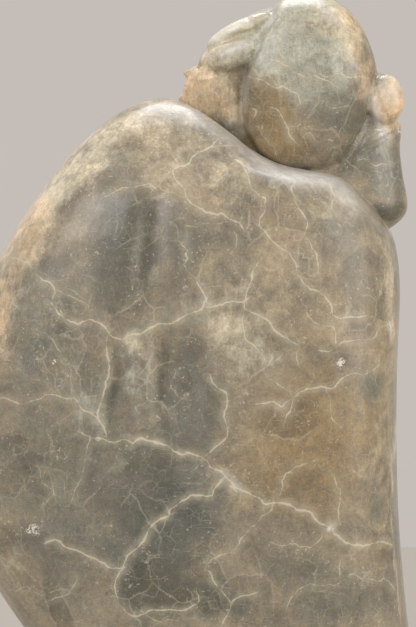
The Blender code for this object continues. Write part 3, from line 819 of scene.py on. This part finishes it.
def blanket_ring(row):
    """One level ring of the blanket, starting at the free edge that laps over on her front."""
    height, front, back, half_width = row
    lap = LAP_TURN_HEM + (LAP_TURN_COLLAR - LAP_TURN_HEM) * height / COLLAR
    step = LAP_STEP_HEM + (LAP_STEP_COLLAR - LAP_STEP_HEM) * smooth_step(height, LAP_STEP_THINS_FROM, COLLAR)
    past_lap = 2 * np.pi * np.arange(1, BLANKET_COLUMNS) / BLANKET_COLUMNS
    turns = lap + np.concatenate([[0, LAP_LIP_TURN], past_lap])
    tucked = np.concatenate([[0, 1], 1 - smooth_step(past_lap, 0, LAP_FADE_TURN)])
    hollow = SHIN_HOLLOW_DEPTH * smooth_step(height, 0, SHIN_HOLLOW_FULL[0])
    hollow *= 1 - smooth_step(height, SHIN_HOLLOW_FULL[1], KNEE_HEIGHT)
    middle = WIDEST_SEAT + (WIDEST_KNEES - WIDEST_SEAT) * smooth_step(height, 0.0, KNEE_HEIGHT)
    middle += (WIDEST_COLLAR - WIDEST_KNEES) * smooth_step(height, KNEE_HEIGHT, COLLAR)
    x, y = section(turns, front, middle, back, half_width, BLANKET_SQUARENESS)
    inward = np.stack([middle - x, -y])
    inward *= step * tucked / np.linalg.norm(inward, axis=0)
    inward[0] += np.maximum(np.cos(turns), 0) * hollow * bump(y, SHIN_HOLLOW_HALF_WIDTH)
    behind = smooth_step(-np.cos(turns), *BACK_CROWN_TURNS) * smooth_step(back - middle, *BACK_CROWN_DEPTHS)
    inward[0] -= BACK_CROWN * behind * (y / half_width) ** 2
    return figure_place(np.stack([x + inward[0], y + inward[1], np.full(len(x), height)], 1))


def hair_rings(rows, steps, columns, squareness):
    """The level rings of a mass of hair."""
    turns = 2 * np.pi * np.arange(columns) / columns
    rings = []
    for height, front, back, half_width in smooth_rows(rows, steps):
        x, y = section(turns, front, (front + back) / 2, back, half_width, squareness)
        rings.append(figure_place(np.stack([x, y, np.full(columns, height)], 1)))
    return rings


def head_axes():
    """The head's middle, and its forward, side and up directions, with the face raised."""
    cosine, sine = math.cos(HEAD_RAISED), math.sin(HEAD_RAISED)
    return figure_place(HEAD_PLACE), np.array([[-cosine, 0, sine], [0, 1, 0], [sine, 0, cosine]])


def head_place(forward, side, level):
    """Points of the head, given in head heights from its middle."""
    middle, axes = head_axes()
    return middle + np.stack([forward, side, level], -1) @ axes * HEAD_HEIGHT * HEIGHT


def face_relief(side, level):
    """How far the features stand out of the plain face, or lie in it, in head heights."""
    features = 0.0
    for _, out, away, spread, height, tall in SOFT_FEATURES:
        features += out * bump(np.abs(side) - away, spread) * bump(level - height, tall)
    nose = sum(out * smooth_step(-level, -high, -low) for out, high, low in (NOSE_BRIDGE, NOSE_TIP))
    nose *= 1 - smooth_step(-level, -NOSE_BASE[0], -NOSE_BASE[1])
    wider = smooth_step(-level, -NOSE_BRIDGE[1], -NOSE_TIP[2])
    features += nose * bump(side, NOSE_HALF_WIDTH[0] + (NOSE_HALF_WIDTH[1] - NOSE_HALF_WIDTH[0]) * wider)
    mouth = np.maximum(0.0, 1 - (side / MOUTH_HALF_WIDTH) ** 2)
    return features + mouth * sum(out * bump(level - height, tall) for out, height, tall in LIPS)


def make_face():
    """The front of the head from under the chin to the hairline."""
    turns = np.pi * (np.arange(FACE_COLUMNS + 1) / FACE_COLUMNS - 0.5)
    rings = []
    for level, half_width, depth in smooth_rows(FACE_LEVELS, FACE_STEPS):
        side = half_width * np.sin(turns)
        forward = depth * np.maximum(np.cos(turns), 0) ** FACE_FULLNESS
        forward += face_relief(side, level) * smooth_step(np.cos(turns), 0.0, FEATURES_FADE)
        forward = np.append(forward, [FACE_BACK, FACE_BACK])
        side = np.append(side, [FACE_BACK_WIDTH * half_width, -FACE_BACK_WIDTH * half_width])
        rings.append(head_place(forward, side, np.full(len(side), level)))
    return loft("face", rings)


def make_body():
    """Blanket and shoes, with the neck opening hollowed out."""
    body = loft("body", [blanket_ring(row) for row in smooth_rows(BLANKET_SECTIONS, BLANKET_STEPS)])
    for form in (COLLAR_CUT, COLLAR_NOTCH):
        cutter = ball("cutter", form)
        modify(body, "BOOLEAN", operation="DIFFERENCE", solver="EXACT", object=cutter)
        bpy.data.objects.remove(cutter)
    shoes = [ball("shoe", SHOE, side=side, turn_z=-SHOE_TURN) for side in (-1, 1)]
    join([body] + shoes)
    cut_flat(body)
    modify(body, "REMESH", mode="VOXEL", voxel_size=BODY_GRAIN)
    modify(body, "SMOOTH", factor=RUB, iterations=BODY_RUBS)
    return body


def edit(kind):
    """Opens the current object's mesh for work on its points or edges, with nothing selected."""
    bpy.ops.object.mode_set(mode="EDIT")
    bpy.ops.mesh.select_mode(type=kind)
    bpy.ops.mesh.select_all(action="DESELECT")


def cut_flat(target):
    """Flattens what would reach below the bed that the figure stands on."""
    points = vertices_of(target)
    points[:, 2] = np.maximum(points[:, 2], BED)
    set_vertices(target, points)


def make_head():
    """Neck, face, locks, the mass of hair and its knot."""
    pieces = [
        loft("head", hair_rings(HAIR_SECTIONS, HAIR_STEPS, HAIR_COLUMNS, HAIR_SQUARENESS)),
        loft("knot", hair_rings(KNOT_SECTIONS, KNOT_STEPS, KNOT_COLUMNS, KNOT_SQUARENESS)),
        ball("knot_top", KNOT_TOP, KNOT_TOP_SQUARENESS),
        make_face(),
        ball("neck", NECK),
        ball("throat", THROAT),
        ball("crown", CROWN_HAIR, LOCK_SQUARENESS),
    ]
    for side in (-1, 1):
        for form in (UPPER_LOCK, LOWER_LOCK):
            pieces.append(ball("lock", form, LOCK_SQUARENESS, side, LOCK_SPREAD, LOCK_TAPER))
    head = join(pieces)
    modify(head, "REMESH", mode="VOXEL", voxel_size=HEAD_GRAIN)
    modify(head, "SMOOTH", factor=RUB, iterations=HEAD_RUBS)
    return head


def make_woman():
    """The whole carving as one skin."""
    body, head = make_body(), make_head()
    for piece in (body, head):
        piece.data.materials.clear()
        for index in range(2):
            piece.data.materials.append(bpy.data.materials.new(f"part {index}"))
    head.data.polygons.foreach_set("material_index", [1] * len(head.data.polygons))
    modify(body, "BOOLEAN", operation="UNION", solver="EXACT", object=head)
    bpy.data.objects.remove(head)
    body.name = body.data.name = "alabaster_woman"
    soften_joins(body)
    only(body)
    bpy.ops.object.shade_smooth()
    return body


def soften_joins(target):
    """Rubs the creases where head and blanket meet down to small fillets."""
    only(target)
    edit("EDGE")
    bpy.ops.mesh.edges_select_sharp(sharpness=JOIN_CREASE)
    bpy.ops.mesh.select_more()
    bpy.ops.mesh.vertices_smooth(factor=RUB, repeat=JOIN_RUBS)
    bpy.ops.object.mode_set(mode="OBJECT")


def project(points):
    """The photograph's column and row for each point, as the camera sees it."""
    away = np.array([0, math.cos(CAMERA_TILT), -math.sin(CAMERA_TILT)])
    up = np.array([0, math.sin(CAMERA_TILT), math.cos(CAMERA_TILT)])
    seen = points - np.array(AIM)
    scale = CAMERA_DISTANCE / (CAMERA_DISTANCE + seen @ away) / PIXEL
    return np.stack([PHOTO_WIDTH / 2 + seen[:, 0] * scale, PHOTO_HEIGHT / 2 - seen @ up * scale], 1)


def drift(points, size, seed):
    """A smooth wandering offset for each point, up to about 1 each way, that changes over the given size.
    Blender seeds this noise from the clock unless it is given a seed."""
    noise.seed_set(seed)
    return np.array([noise.noise_vector(Vector(point) / size) for point in points])


def edge_on(target):
    """1 where the blanket faces straight forwards or back, which the camera sees edge-on, and 0 elsewhere."""
    return smooth_step(np.abs(normals_of(target)[:, 0]), *EDGE_ON) * (1 - head_share(target))


def skin_places(target):
    """Each point's place on the photograph. Behind the middle plane, and on the blanket's front and back,
    the places wander off, so that the stone's sheets of colour run through the block at a slant and her
    right side isn't a mirror image."""
    points = vertices_of(target)
    wander = np.maximum(smooth_step(points[:, 1], *FAR_FROM_TO), edge_on(target))[:, None]
    return project(points) + drift(points, FAR_DRIFT_SIZE, FAR_DRIFT_SEED)[:, :2] * FAR_DRIFT * wander


def jagged(route, random):
    """A route broken into short, slightly crooked steps, as a healed crack runs."""
    route = [np.array(place, float) for place in route]
    while True:
        finer = [route[0]]
        for here, there in zip(route, route[1:]):
            step = there - here
            length = np.linalg.norm(step)
            if length > VEIN_STEP:
                across = np.array([-step[1], step[0]])
                finer.append((here + there) / 2 + across * random.normal(0, VEIN_CROOKEDNESS))
            finer.append(there)
        if len(finer) == len(route):
            return np.array(route)
        route = finer


def from_route(places, route):
    """How far each place lies to one side of a route, and how far it lies beyond the route's ends."""
    steps = route[1:] - route[:-1]
    lengths = np.linalg.norm(steps, axis=1)
    across = np.stack([-steps[:, 1], steps[:, 0]], 1) / lengths[:, None]
    at_corner = np.concatenate([across[:1], across[:-1] + across[1:], across[-1:]])
    away = places[:, None] - route[None, :-1]
    share = np.clip((away * steps).sum(2) / lengths ** 2, 0, 1)
    gap = away - share[..., None] * steps
    reach = np.linalg.norm(gap, axis=2)
    nearest = np.arange(len(places)), reach.argmin(1)
    share, gap, reach = share[nearest], gap[nearest], reach[nearest]
    index = nearest[1]
    facing = np.where((share > 0)[:, None], across[index], at_corner[index])
    facing = np.where((share < 1)[:, None], facing, at_corner[index + 1])
    side = np.sign((gap * facing).sum(1))
    at_end = ((index == 0) & (share <= 0)) | ((index == len(steps) - 1) & (share >= 1))
    beyond = np.where(at_end, np.abs((gap * steps[index]).sum(1)) / lengths[index], 0)
    sideways = np.where(at_end, (gap * across[index]).sum(1), side * reach)
    return sideways, beyond


def vein_groups():
    """The veins' jagged routes with their strengths, in groups whose routes keep clear of one another."""
    random = np.random.default_rng(VEIN_SEED)
    groups = [[] for _ in range(VEIN_GROUPS)]
    for strength, *route in VEINS:
        route = jagged(route, random)
        clear = []
        for group in groups:
            others = [other for _, other in group]
            gaps = [np.linalg.norm(route[:, None] - other, axis=2).min() for other in others]
            clear.append(min(gaps, default=math.inf))
        roomy = [index for index, gap in enumerate(clear) if gap > VEIN_CLEARANCE]
        groups[roomy[0] if roomy else int(np.argmax(clear))].append((strength, route))
    return groups


def vein_field(places, group):
    """Distance to one side of the nearest vein, the vein's strength there, and 0, for each place."""
    field = np.zeros((len(places), 3))
    field[:, 0] = VEIN_REACH
    nearest = np.full(len(places), np.inf)
    for strength, route in group:
        low, high = route.min(0) - VEIN_REACH, route.max(0) + VEIN_REACH
        inside = np.nonzero(((places > low) & (places < high)).all(1))[0]
        if not len(inside):
            continue
        sideways, beyond = from_route(places[inside], route)
        reach = np.hypot(sideways, beyond)
        closer = reach < nearest[inside]
        chosen = inside[closer]
        nearest[chosen] = reach[closer]
        field[chosen, 0] = sideways[closer]
        fade = 1 - smooth_step(beyond[closer], *VEIN_END_FADE)
        fade *= 1 - smooth_step(np.abs(sideways[closer]), VEIN_REACH_FADES_FROM * VEIN_REACH, VEIN_REACH)
        field[chosen, 1] = strength * fade
    return field


def zone_share(places, patches):
    """How much of a zone shows at each place: soft oval patches, given by middle, half sizes and turn."""
    bare = np.ones(len(places))
    for column, row, half_width, half_height, turn, strength in patches:
        cosine, sine = math.cos(math.radians(turn)), math.sin(math.radians(turn))
        x, y = places[:, 0] - column, places[:, 1] - row
        along = (x * cosine + y * sine) / half_width
        across = (y * cosine - x * sine) / half_height
        bare *= 1 - strength * np.exp(-(along ** 2 + across ** 2) ** PATCH_STEEPNESS)
    return 1 - bare


def store(mesh, name, values):
    """Keeps a value, or three, for each of the mesh's points, for its material to read."""
    kind, key = ("FLOAT", "value") if values.ndim == 1 else ("FLOAT_VECTOR", "vector")
    kept = mesh.attributes.new(name, kind, "POINT")
    kept.data.foreach_set(key, np.ascontiguousarray(values, np.float32).ravel())


def head_share(target):
    """1 at the points of the head and its hair, and 0 at those of the blanket, by their faces' material."""
    share = np.zeros(len(target.data.vertices))
    for polygon in target.data.polygons:
        if polygon.material_index == 1:
            share[list(polygon.vertices)] = 1
    return share


def in_head(points):
    """Points in head heights from the head's middle: forward, to her side, and up."""
    middle, axes = head_axes()
    return (points - middle) @ axes.T / (HEAD_HEIGHT * HEIGHT)


def refine_face(target):
    """Gives the front of the face a finer skin."""
    forward, side, level = in_head(vertices_of(target)).T
    least, widest, lowest, highest = FACE_CUT_AREA
    chosen = (forward > least) & (np.abs(side) < widest) & (level > lowest) & (level < highest)
    only(target)
    edit("VERT")
    bpy.ops.object.mode_set(mode="OBJECT")
    target.data.vertices.foreach_set("select", chosen)
    bpy.ops.object.mode_set(mode="EDIT")
    bpy.ops.mesh.subdivide(number_cuts=1)
    bpy.ops.mesh.vertices_smooth(factor=RUB)
    bpy.ops.object.mode_set(mode="OBJECT")


def cut_face(target):
    """Cuts the face's lids, nostrils and mouth, the same on both sides."""
    points, normals = vertices_of(target), normals_of(target)
    forward, side, level = in_head(points).T
    face = (smooth_step(forward, *FACE_CUT_DEPTHS) * HEAD_HEIGHT * HEIGHT)[:, None]
    for _, depth, half_width, *route in FACE_LINES:
        sideways, beyond = from_route(np.stack([np.abs(side), level], 1), np.array(route))
        points -= normals * depth * face * bump(np.hypot(sideways, beyond), half_width)[:, None]
    set_vertices(target, points)


def relief(target):
    """Rubs the soft folds into the blanket and cuts the creases of the hair."""
    points, normals = vertices_of(target), normals_of(target)
    head = head_share(target)
    places = skin_places(target)
    depth = np.zeros(len(points))
    for *patch, amount in FOLDS:
        depth += amount * zone_share(places, [(*patch, 1.0)]) * (1 - head)
    places = project(points)
    for amount, half_width, *route in HAIR_CREASES:
        sideways, beyond = from_route(places, np.array(route, float))
        depth -= amount * bump(np.hypot(sideways, beyond), half_width) * head
    flat = np.abs(normals[:, 1]) ** RELIEF_FADE
    set_vertices(target, points + normals * (depth * flat * MM)[:, None])


def paint(target):
    """Lays out the stone's zones and veins over the carving's skin."""
    points = vertices_of(target)
    head = head_share(target)
    places = skin_places(target)
    ragged = places + sum(drift(points, size, seed)[:, :2] * reach for size, seed, reach in RAGGED_EDGES)
    for name, (on_body, on_head) in ZONES.items():
        share = zone_share(ragged, on_body) * (1 - head) + zone_share(ragged, on_head) * head
        store(target.data, name, share)
    for name, (on_body, on_head) in SHARP_ZONES.items():
        share = zone_share(places, on_body) * (1 - head) + zone_share(places, on_head) * head
        store(target.data, name, share * (1 - edge_on(target)))
    for index, group in enumerate(vein_groups()):
        store(target.data, f"vein_{index}", vein_field(places, group))
    store(target.data, "head", head)


def linear(hex_colour):
    """An sRGB hex colour as linear RGBA."""
    values = [int(hex_colour[i:i + 2], 16) / 255 for i in (1, 3, 5)]
    return [v / 12.92 if v <= 0.04045 else ((v + 0.055) / 1.055) ** 2.4 for v in values] + [1.0]


def add_node(tree, kind, *inputs, named=(), output=0, **settings):
    """Adds a shader node with its settings and links, and returns one of its outputs. An input is a value
    or the socket that feeds it. Inputs come in the order of the node's open sockets, or by name."""
    node = tree.nodes.new("ShaderNode" + kind)
    for key, value in settings.items():
        setattr(node, key, value)
    pairs = list(zip([socket for socket in node.inputs if socket.enabled], inputs))
    pairs += [(node.inputs[name], value) for name, value in dict(named).items()]
    for socket, value in pairs:
        if isinstance(value, bpy.types.NodeSocket):
            tree.links.new(value, socket)
        else:
            socket.default_value = value
    return [socket for socket in node.outputs if socket.enabled][output]


def cloud(tree, place, size, detail=4.0, rough=0.6, stretch=(1, 1, 1), slant=0, warp=0.0):
    """Blotches that measure about size metres, longer where stretch is over 1, and slanted by so many
    degrees about her sides."""
    scale = [1 / (size * longer) for longer in stretch]
    turn = (0, math.radians(slant), 0)
    placed = add_node(tree, "Mapping", named={"Vector": place, "Rotation": turn, "Scale": scale})
    form = {"Vector": placed, "Scale": 1.0, "Detail": detail, "Roughness": rough, "Distortion": warp}
    return add_node(tree, "TexNoise", named=form)


def lay(tree, below, share, strength, hex_colour):
    """Lays a colour over what is below, by a share and a strength."""
    share = add_node(tree, "Math", share, strength, operation="MULTIPLY")
    return add_node(tree, "Mix", share, below, linear(hex_colour), data_type="RGBA")


def shaded(tree, shade, pattern, low, high, darkest, lightest):
    """A shade that is also darkened and lightened by a pattern, between the pattern's low and high."""
    factor = add_node(tree, "MapRange", pattern, low, high, darkest, lightest)
    return add_node(tree, "Math", shade, factor, operation="MULTIPLY")


def blend(tree, *parts):
    """The sum of several patterns, each with its weight."""
    total = 0.0
    for pattern, weight in parts:
        total = add_node(tree, "Math", pattern, weight, total, operation="MULTIPLY_ADD")
    return total


def strongest(tree, shares):
    """The highest of several shares."""
    highest = shares[0]
    for share in shares[1:]:
        highest = add_node(tree, "Math", highest, share, operation="MAXIMUM")
    return highest


def vein_share(tree, place):
    """The calcite veins: a bright thread with a soft pale margin. Returns both shares."""
    waver = cloud(tree, place, *VEIN_WAVER)
    waver = add_node(tree, "MapRange", waver, 0.0, 1.0, -VEIN_WANDER / 2, VEIN_WANDER / 2)
    swell = add_node(tree, "MapRange", cloud(tree, place, *VEIN_SWELL), *VEIN_SWELL_LEVELS, **SMOOTH)
    threads, margins = [], []
    for index in range(VEIN_GROUPS):
        stored = add_node(tree, "Attribute", attribute_name=f"vein_{index}", output=1)
        aside = add_node(tree, "SeparateXYZ", stored)
        strength = add_node(tree, "Math", aside.node.outputs[1], swell, operation="MULTIPLY")
        gap = add_node(tree, "Math", aside, waver, operation="ADD")
        gap = add_node(tree, "Math", gap, operation="ABSOLUTE")
        width = add_node(tree, "Math", strength, VEIN_HALF_WIDTH, operation="MULTIPLY")
        width = add_node(tree, "Math", width, VEIN_THINNEST, operation="MAXIMUM")
        thread = add_node(tree, "Math", gap, width, operation="DIVIDE")
        thread = add_node(tree, "MapRange", thread, *VEIN_EDGE, 1.0, 0.0, **SMOOTH)
        bold = add_node(tree, "MapRange", strength, 0.0, VEIN_BOLD_FROM)
        threads.append(add_node(tree, "Math", thread, bold, operation="MULTIPLY"))
        margin = add_node(tree, "MapRange", gap, 0.0, VEIN_MARGIN, 1.0, 0.0, **SMOOTH)
        margins.append(add_node(tree, "Math", margin, strength, operation="MULTIPLY"))
    return strongest(tree, threads), strongest(tree, margins)


def veinlets(tree, place, size, width, shift):
    """A faint net of hairline veins through the stone, broken where they pinch out, and a tone for each
    of the pieces of stone between them."""
    crooked = {"Vector": place, "Scale": 1 / (NET_BEND_SIZE * size), "Detail": 4.0}
    bent = add_node(tree, "TexNoise", named=crooked, output=1)
    middle = (NOISE_MEAN + shift, NOISE_MEAN, NOISE_MEAN)
    bent = add_node(tree, "VectorMath", bent, middle, operation="SUBTRACT")
    bent = add_node(tree, "VectorMath", bent, NET_BEND_REACH * size, operation="SCALE")
    bent = add_node(tree, "VectorMath", place, bent, operation="ADD")
    net = {"Vector": bent, "Scale": 1 / size}
    edge = add_node(tree, "TexVoronoi", named=net, feature="DISTANCE_TO_EDGE")
    tone = add_node(tree, "SeparateColor", add_node(tree, "TexVoronoi", named=net, output=1))
    line = add_node(tree, "MapRange", edge, 0.0, width / size, 1.0, 0.0, **SMOOTH)
    gaps = cloud(tree, place, NET_GAP_SIZE * size, 3.0)
    shown = add_node(tree, "MapRange", gaps, *NET_SHOWS, **SMOOTH)
    return add_node(tree, "Math", line, shown, operation="MULTIPLY"), tone


def stone_patterns(tree, place):
    """The stone's own patterns by name, from its broad clouds down to its sugary grain."""
    stone = {name: cloud(tree, place, *form) for name, form in PATTERNS.items()}
    head = add_node(tree, "Attribute", attribute_name="head", output=2)
    stone["grain"] = add_node(tree, "Mix", head, stone["upright"], stone["slanting"], data_type="FLOAT")
    ragged = blend(tree, *[(stone[name], weight) for name, weight in RAGGED_WEIGHTS.items()])
    stone["ragged"] = add_node(tree, "Math", ragged, NOISE_MEAN, operation="SUBTRACT")
    return stone


def zoned(tree, stone):
    """The stone's ground colour with its painted zones over it, each with edges as ragged as its own."""
    share = add_node(tree, "MapRange", stone["broad"], *GROUND_LEVELS, **SMOOTH)
    colour = lay(tree, linear(GROUND[0]), share, 1.0, GROUND[1])
    # Some zones lay painted shade, painted shadow and painted glow over the stone's colours
    for name, (hex_colour, raggedness) in ZONE_COLOURS.items():
        share = add_node(tree, "Attribute", attribute_name=name, output=2)
        broken = add_node(tree, "Math", stone["ragged"], raggedness, share, operation="MULTIPLY_ADD")
        broken = add_node(tree, "MapRange", broken, *ZONE_EDGE, **SMOOTH)
        inside = add_node(tree, "MapRange", share, *ZONE_LIMIT, **SMOOTH)
        broken = add_node(tree, "Math", broken, inside, operation="MULTIPLY")
        colour = lay(tree, colour, broken, 1.0, hex_colour)
    return colour


def veined(tree, place, stone, colour):
    """Shades the stone by its grain, and lays its veins over it. Returns the colour and the threads."""
    nets = [veinlets(tree, place, *net) for net in NETS]
    shade = 1.0
    for name, low, high, darkest, lightest in SHADING:
        shade = shaded(tree, shade, stone[name], low, high, darkest, lightest)
    for (_, tone), (darkest, lightest) in zip(nets, NET_TONES):
        shade = shaded(tree, shade, tone, 0.0, 1.0, darkest, lightest)
    brightness = add_node(tree, "CombineColor", shade, shade, shade)
    colour = add_node(tree, "Mix", 1.0, colour, brightness, data_type="RGBA", blend_type="MULTIPLY")
    thread, margin = vein_share(tree, place)
    colour = lay(tree, colour, margin, VEIN_MARGIN_STRENGTH, VEIN_MARGIN_COLOUR)
    for (line, _), strength in reversed(list(zip(nets, NET_STRENGTHS))):
        colour = lay(tree, colour, line, strength, VEIN_COLOUR)
    return lay(tree, colour, thread, VEIN_STRENGTH, VEIN_COLOUR), thread


def scratched(tree, place, colour):
    """The last sanding's fine scratches, where they weren't polished out, and the stone's pale flecks."""
    for slant in SCRATCH_SLANTS:
        scratch = add_node(tree, "MapRange", cloud(tree, place, *SCRATCH, slant), *SCRATCH_SHOWS, **SMOOTH)
        patches = cloud(tree, place, *SCRATCH_PATCHES)
        left = add_node(tree, "MapRange", patches, *SCRATCH_PATCHES_SHOW, **SMOOTH)
        scratch = add_node(tree, "Math", scratch, left, operation="MULTIPLY")
        colour = lay(tree, colour, scratch, SCRATCH_STRENGTH, FLECK_COLOUR)
    crowd = add_node(tree, "MapRange", cloud(tree, place, *FLECK_CROWDS), *FLECK_LEVELS, **SMOOTH)
    flecks = add_node(tree, "Math", cloud(tree, place, *FLECK), crowd, operation="SUBTRACT")
    flecks = add_node(tree, "MapRange", flecks, 0.0, FLECK_EDGE, **SMOOTH)
    return lay(tree, colour, flecks, FLECK_STRENGTH, FLECK_COLOUR)


def dusted_and_highlighted(tree, stone, colour, dust_and_highlight_share):
    """Lays the pale film of stone dust and worn wax that lies in the hollows and along the lip, and the
    painted highlights on the hump, the locks and the top of the hair mass.
    """
    patchy = add_node(tree, "MapRange", stone["ragged"], *DUST_AND_HIGHLIGHT_PATCHES, **SMOOTH)
    patchy = add_node(tree, "Math", dust_and_highlight_share, patchy, operation="MULTIPLY")
    return lay(tree, colour, patchy, DUST_AND_HIGHLIGHT_STRENGTH, PALE_WHITE_COLOUR)


def hatched(tree, place, colour):
    """The crossing file strokes on the hair's binding. Returns the colour and the strokes."""
    strokes = [cloud(tree, place, *HATCH, slant) for slant in HATCH_SLANTS]
    area = add_node(tree, "Attribute", attribute_name="binding", output=2)
    hatch = add_node(tree, "Math", strongest(tree, strokes), area, operation="MULTIPLY")
    shown = add_node(tree, "MapRange", hatch, *HATCH_SHOWS, **SMOOTH)
    return lay(tree, colour, shown, HATCH_STRENGTH, PALE_WHITE_COLOUR), hatch


def chipped(tree, stone, colour):
    """The small chips, down to raw white stone. Returns the colour and the chips."""
    broken = add_node(tree, "MapRange", stone["sugar"], *CHIP_BROKEN, **SMOOTH)
    area = add_node(tree, "Attribute", attribute_name="chips", output=2)
    chips = add_node(tree, "Math", area, broken, operation="MULTIPLY")
    shown = add_node(tree, "MapRange", chips, *CHIP_SHOWS, **SMOOTH)
    return lay(tree, colour, shown, 1.0, CHIP_COLOUR), chips


def new_material(name):
    """A new material, with its node tree and its shader."""
    material = bpy.data.materials.new(name)
    material.use_nodes = True
    return material, material.node_tree, material.node_tree.nodes["Principled BSDF"]


def alabaster():
    """Alabaster: fine-grained gypsum, sawn, rasped, sanded wet to a fine grit and waxed. Light sinks a few
    millimetres into it, so edges look soft, the polish is satin, and calcite threads show pale in it."""
    material, tree, shader = new_material("polished alabaster")
    place = add_node(tree, "TexCoord", output=3)
    stone = stone_patterns(tree, place)
    # Where the pale dust film lies, and where highlights are painted
    dust_and_highlight_share = add_node(tree, "Attribute", attribute_name="dust_and_highlight", output=2)
    colour, thread = veined(tree, place, stone, zoned(tree, stone))
    colour = dusted_and_highlighted(tree, stone, scratched(tree, place, colour), dust_and_highlight_share)
    colour, hatch = hatched(tree, place, colour)
    colour, chips = chipped(tree, stone, colour)
    tree.links.new(colour, shader.inputs["Base Color"])

    gloss = add_node(tree, "MapRange", stone["mottle"], *ALABASTER_ROUGHNESS, **SMOOTH)
    gloss = blend(tree, (gloss, 1.0), (dust_and_highlight_share, DUST_AND_HIGHLIGHT_ROUGHNESS), (stone["sugar"], SUGAR_ROUGHNESS))
    tree.links.new(gloss, shader.inputs["Roughness"])
    patterns = {**stone, "thread": thread, "hatch": hatch, "chips": chips}
    pits = blend(tree, *[(patterns[name], weight) for name, weight in RELIEF_WEIGHTS.items()])
    skin = add_node(tree, "Bump", named={"Height": pits, **FINE_RELIEF})
    tree.links.new(skin, shader.inputs["Normal"])
    for name, value in ALABASTER_FINISH.items():
        shader.inputs[name].default_value = value
    return material


def make_plinth():
    """The low slab under her: corners rounded on the saw bench, edges eased with a stone."""
    low, high = (Vector(corner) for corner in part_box("plinth"))
    bpy.ops.object.select_all(action="DESELECT")
    bpy.ops.mesh.primitive_cube_add(size=1, location=(low + high) / 2)
    slab = bpy.context.object
    slab.scale = high - low
    bpy.ops.object.transform_apply(location=True, rotation=True, scale=True)
    slab.name = slab.data.name = "plinth_slab"
    edit("EDGE")
    bpy.ops.object.mode_set(mode="OBJECT")
    points = slab.data.vertices
    for edge in slab.data.edges:
        top, bottom = (points[index].co for index in edge.vertices)
        edge.select = abs(top.z - bottom.z) > 1 * MM
    bpy.ops.object.mode_set(mode="EDIT")
    bpy.ops.mesh.bevel(offset=PLINTH_CORNER_RADIUS, segments=PLINTH_CORNER_STEPS, affect="EDGES")
    bpy.ops.mesh.select_all(action="DESELECT")
    bpy.ops.mesh.edges_select_sharp(sharpness=PLINTH_CREASE)
    bpy.ops.mesh.bevel(offset=PLINTH_EASED_EDGE, segments=PLINTH_EDGE_STEPS, affect="EDGES")
    bpy.ops.object.mode_set(mode="OBJECT")
    bpy.ops.object.shade_smooth_by_angle(angle=PLINTH_SHADED_TO)
    slab.data.materials.append(soapstone())
    return slab


def soapstone():
    """Dark soapstone: talc with magnesite, sawn, honed to a dull fine finish and oiled once. It is soft, so
    its polish is low, with pale wisps where the magnesite runs."""
    material, tree, shader = new_material("honed soapstone")
    place = add_node(tree, "TexCoord", output=3)
    grain = cloud(tree, place, *SOAPSTONE_GRAIN)
    broad = cloud(tree, place, *SOAPSTONE_CLOUDS)
    pale = add_node(tree, "MapRange", broad, *SOAPSTONE_PALE, **SMOOTH)
    specks = add_node(tree, "MapRange", grain, *SPECK_LEVELS, **SMOOTH)
    pits = add_node(tree, "MapRange", grain, *PIT_LEVELS, **SMOOTH)
    wisps, _ = veinlets(tree, place, *SOAPSTONE_WISPS)
    colour = lay(tree, linear(SOAPSTONE_GROUND[0]), pale, 1.0, SOAPSTONE_GROUND[1])
    colour = lay(tree, colour, wisps, *WISP_COLOUR)
    colour = lay(tree, colour, specks, *SPECK_COLOUR)
    colour = lay(tree, colour, pits, *PIT_COLOUR)
    tree.links.new(colour, shader.inputs["Base Color"])
    dull = add_node(tree, "MapRange", grain, *SOAPSTONE_ROUGHNESS, **SMOOTH)
    tree.links.new(dull, shader.inputs["Roughness"])
    skin = add_node(tree, "Bump", named={"Height": grain, **SOAPSTONE_RELIEF})
    tree.links.new(skin, shader.inputs["Normal"])
    shader.inputs["IOR"].default_value = SOAPSTONE_IOR
    return material


def make_camera():
    """A long lens, a little above the figure's middle, square to her left side."""
    data = bpy.data.cameras.new("camera")
    camera = new_object("camera", data)
    data.sensor_fit = "HORIZONTAL"
    data.lens = data.sensor_width * CAMERA_DISTANCE / (PHOTO_WIDTH * PIXEL)
    away = Vector((0, -math.cos(CAMERA_TILT), math.sin(CAMERA_TILT)))
    camera.location = Vector(AIM) + away * CAMERA_DISTANCE
    camera.rotation_euler = away.to_track_quat("Z", "Y").to_euler()
    bpy.context.scene.camera = camera


def make_softbox(name, place, size, power, colour):
    """A square area light that faces the figure."""
    data = bpy.data.lights.new(name, "AREA")
    data.size = size
    data.energy = power
    data.color = linear(colour)[:3]
    light = new_object(name, data)
    light.location = place
    light.rotation_euler = (Vector(place) - Vector(AIM)).to_track_quat("Z", "Y").to_euler()


def plain_material(name, colour, roughness):
    """A plain matt finish."""
    material, _, shader = new_material(name)
    shader.inputs["Base Color"].default_value = linear(colour)
    shader.inputs["Roughness"].default_value = roughness
    return material


def make_studio():
    """A pale table top that ends behind the figure, a plain pale backdrop and soft light from above."""
    bpy.ops.object.select_all(action="DESELECT")
    bpy.ops.mesh.primitive_cube_add(size=1, location=TABLE_PLACE, scale=TABLE_SIZE)
    table = bpy.context.object
    table.name = "table_top"
    table.data.materials.append(plain_material("pale table", TABLE_COLOUR, TABLE_ROUGHNESS))
    world = bpy.data.worlds.new("backdrop")
    world.use_nodes = True
    world.node_tree.nodes["Background"].inputs["Color"].default_value = linear(BACKDROP_COLOUR)
    world.node_tree.nodes["Background"].inputs["Strength"].default_value = 1.0
    bpy.context.scene.world = world
    for softbox in SOFTBOXES:
        make_softbox(*softbox)


make_camera()
make_studio()
woman = make_woman()
refine_face(woman)
cut_face(woman)
relief(woman)
paint(woman)
woman.data.materials.clear()
woman.data.materials.append(alabaster())
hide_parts("woman")
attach(woman, "root")
slab = make_plinth()
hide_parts("plinth")
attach(slab, "root")
bpy.context.scene.view_settings.view_transform = "Standard"
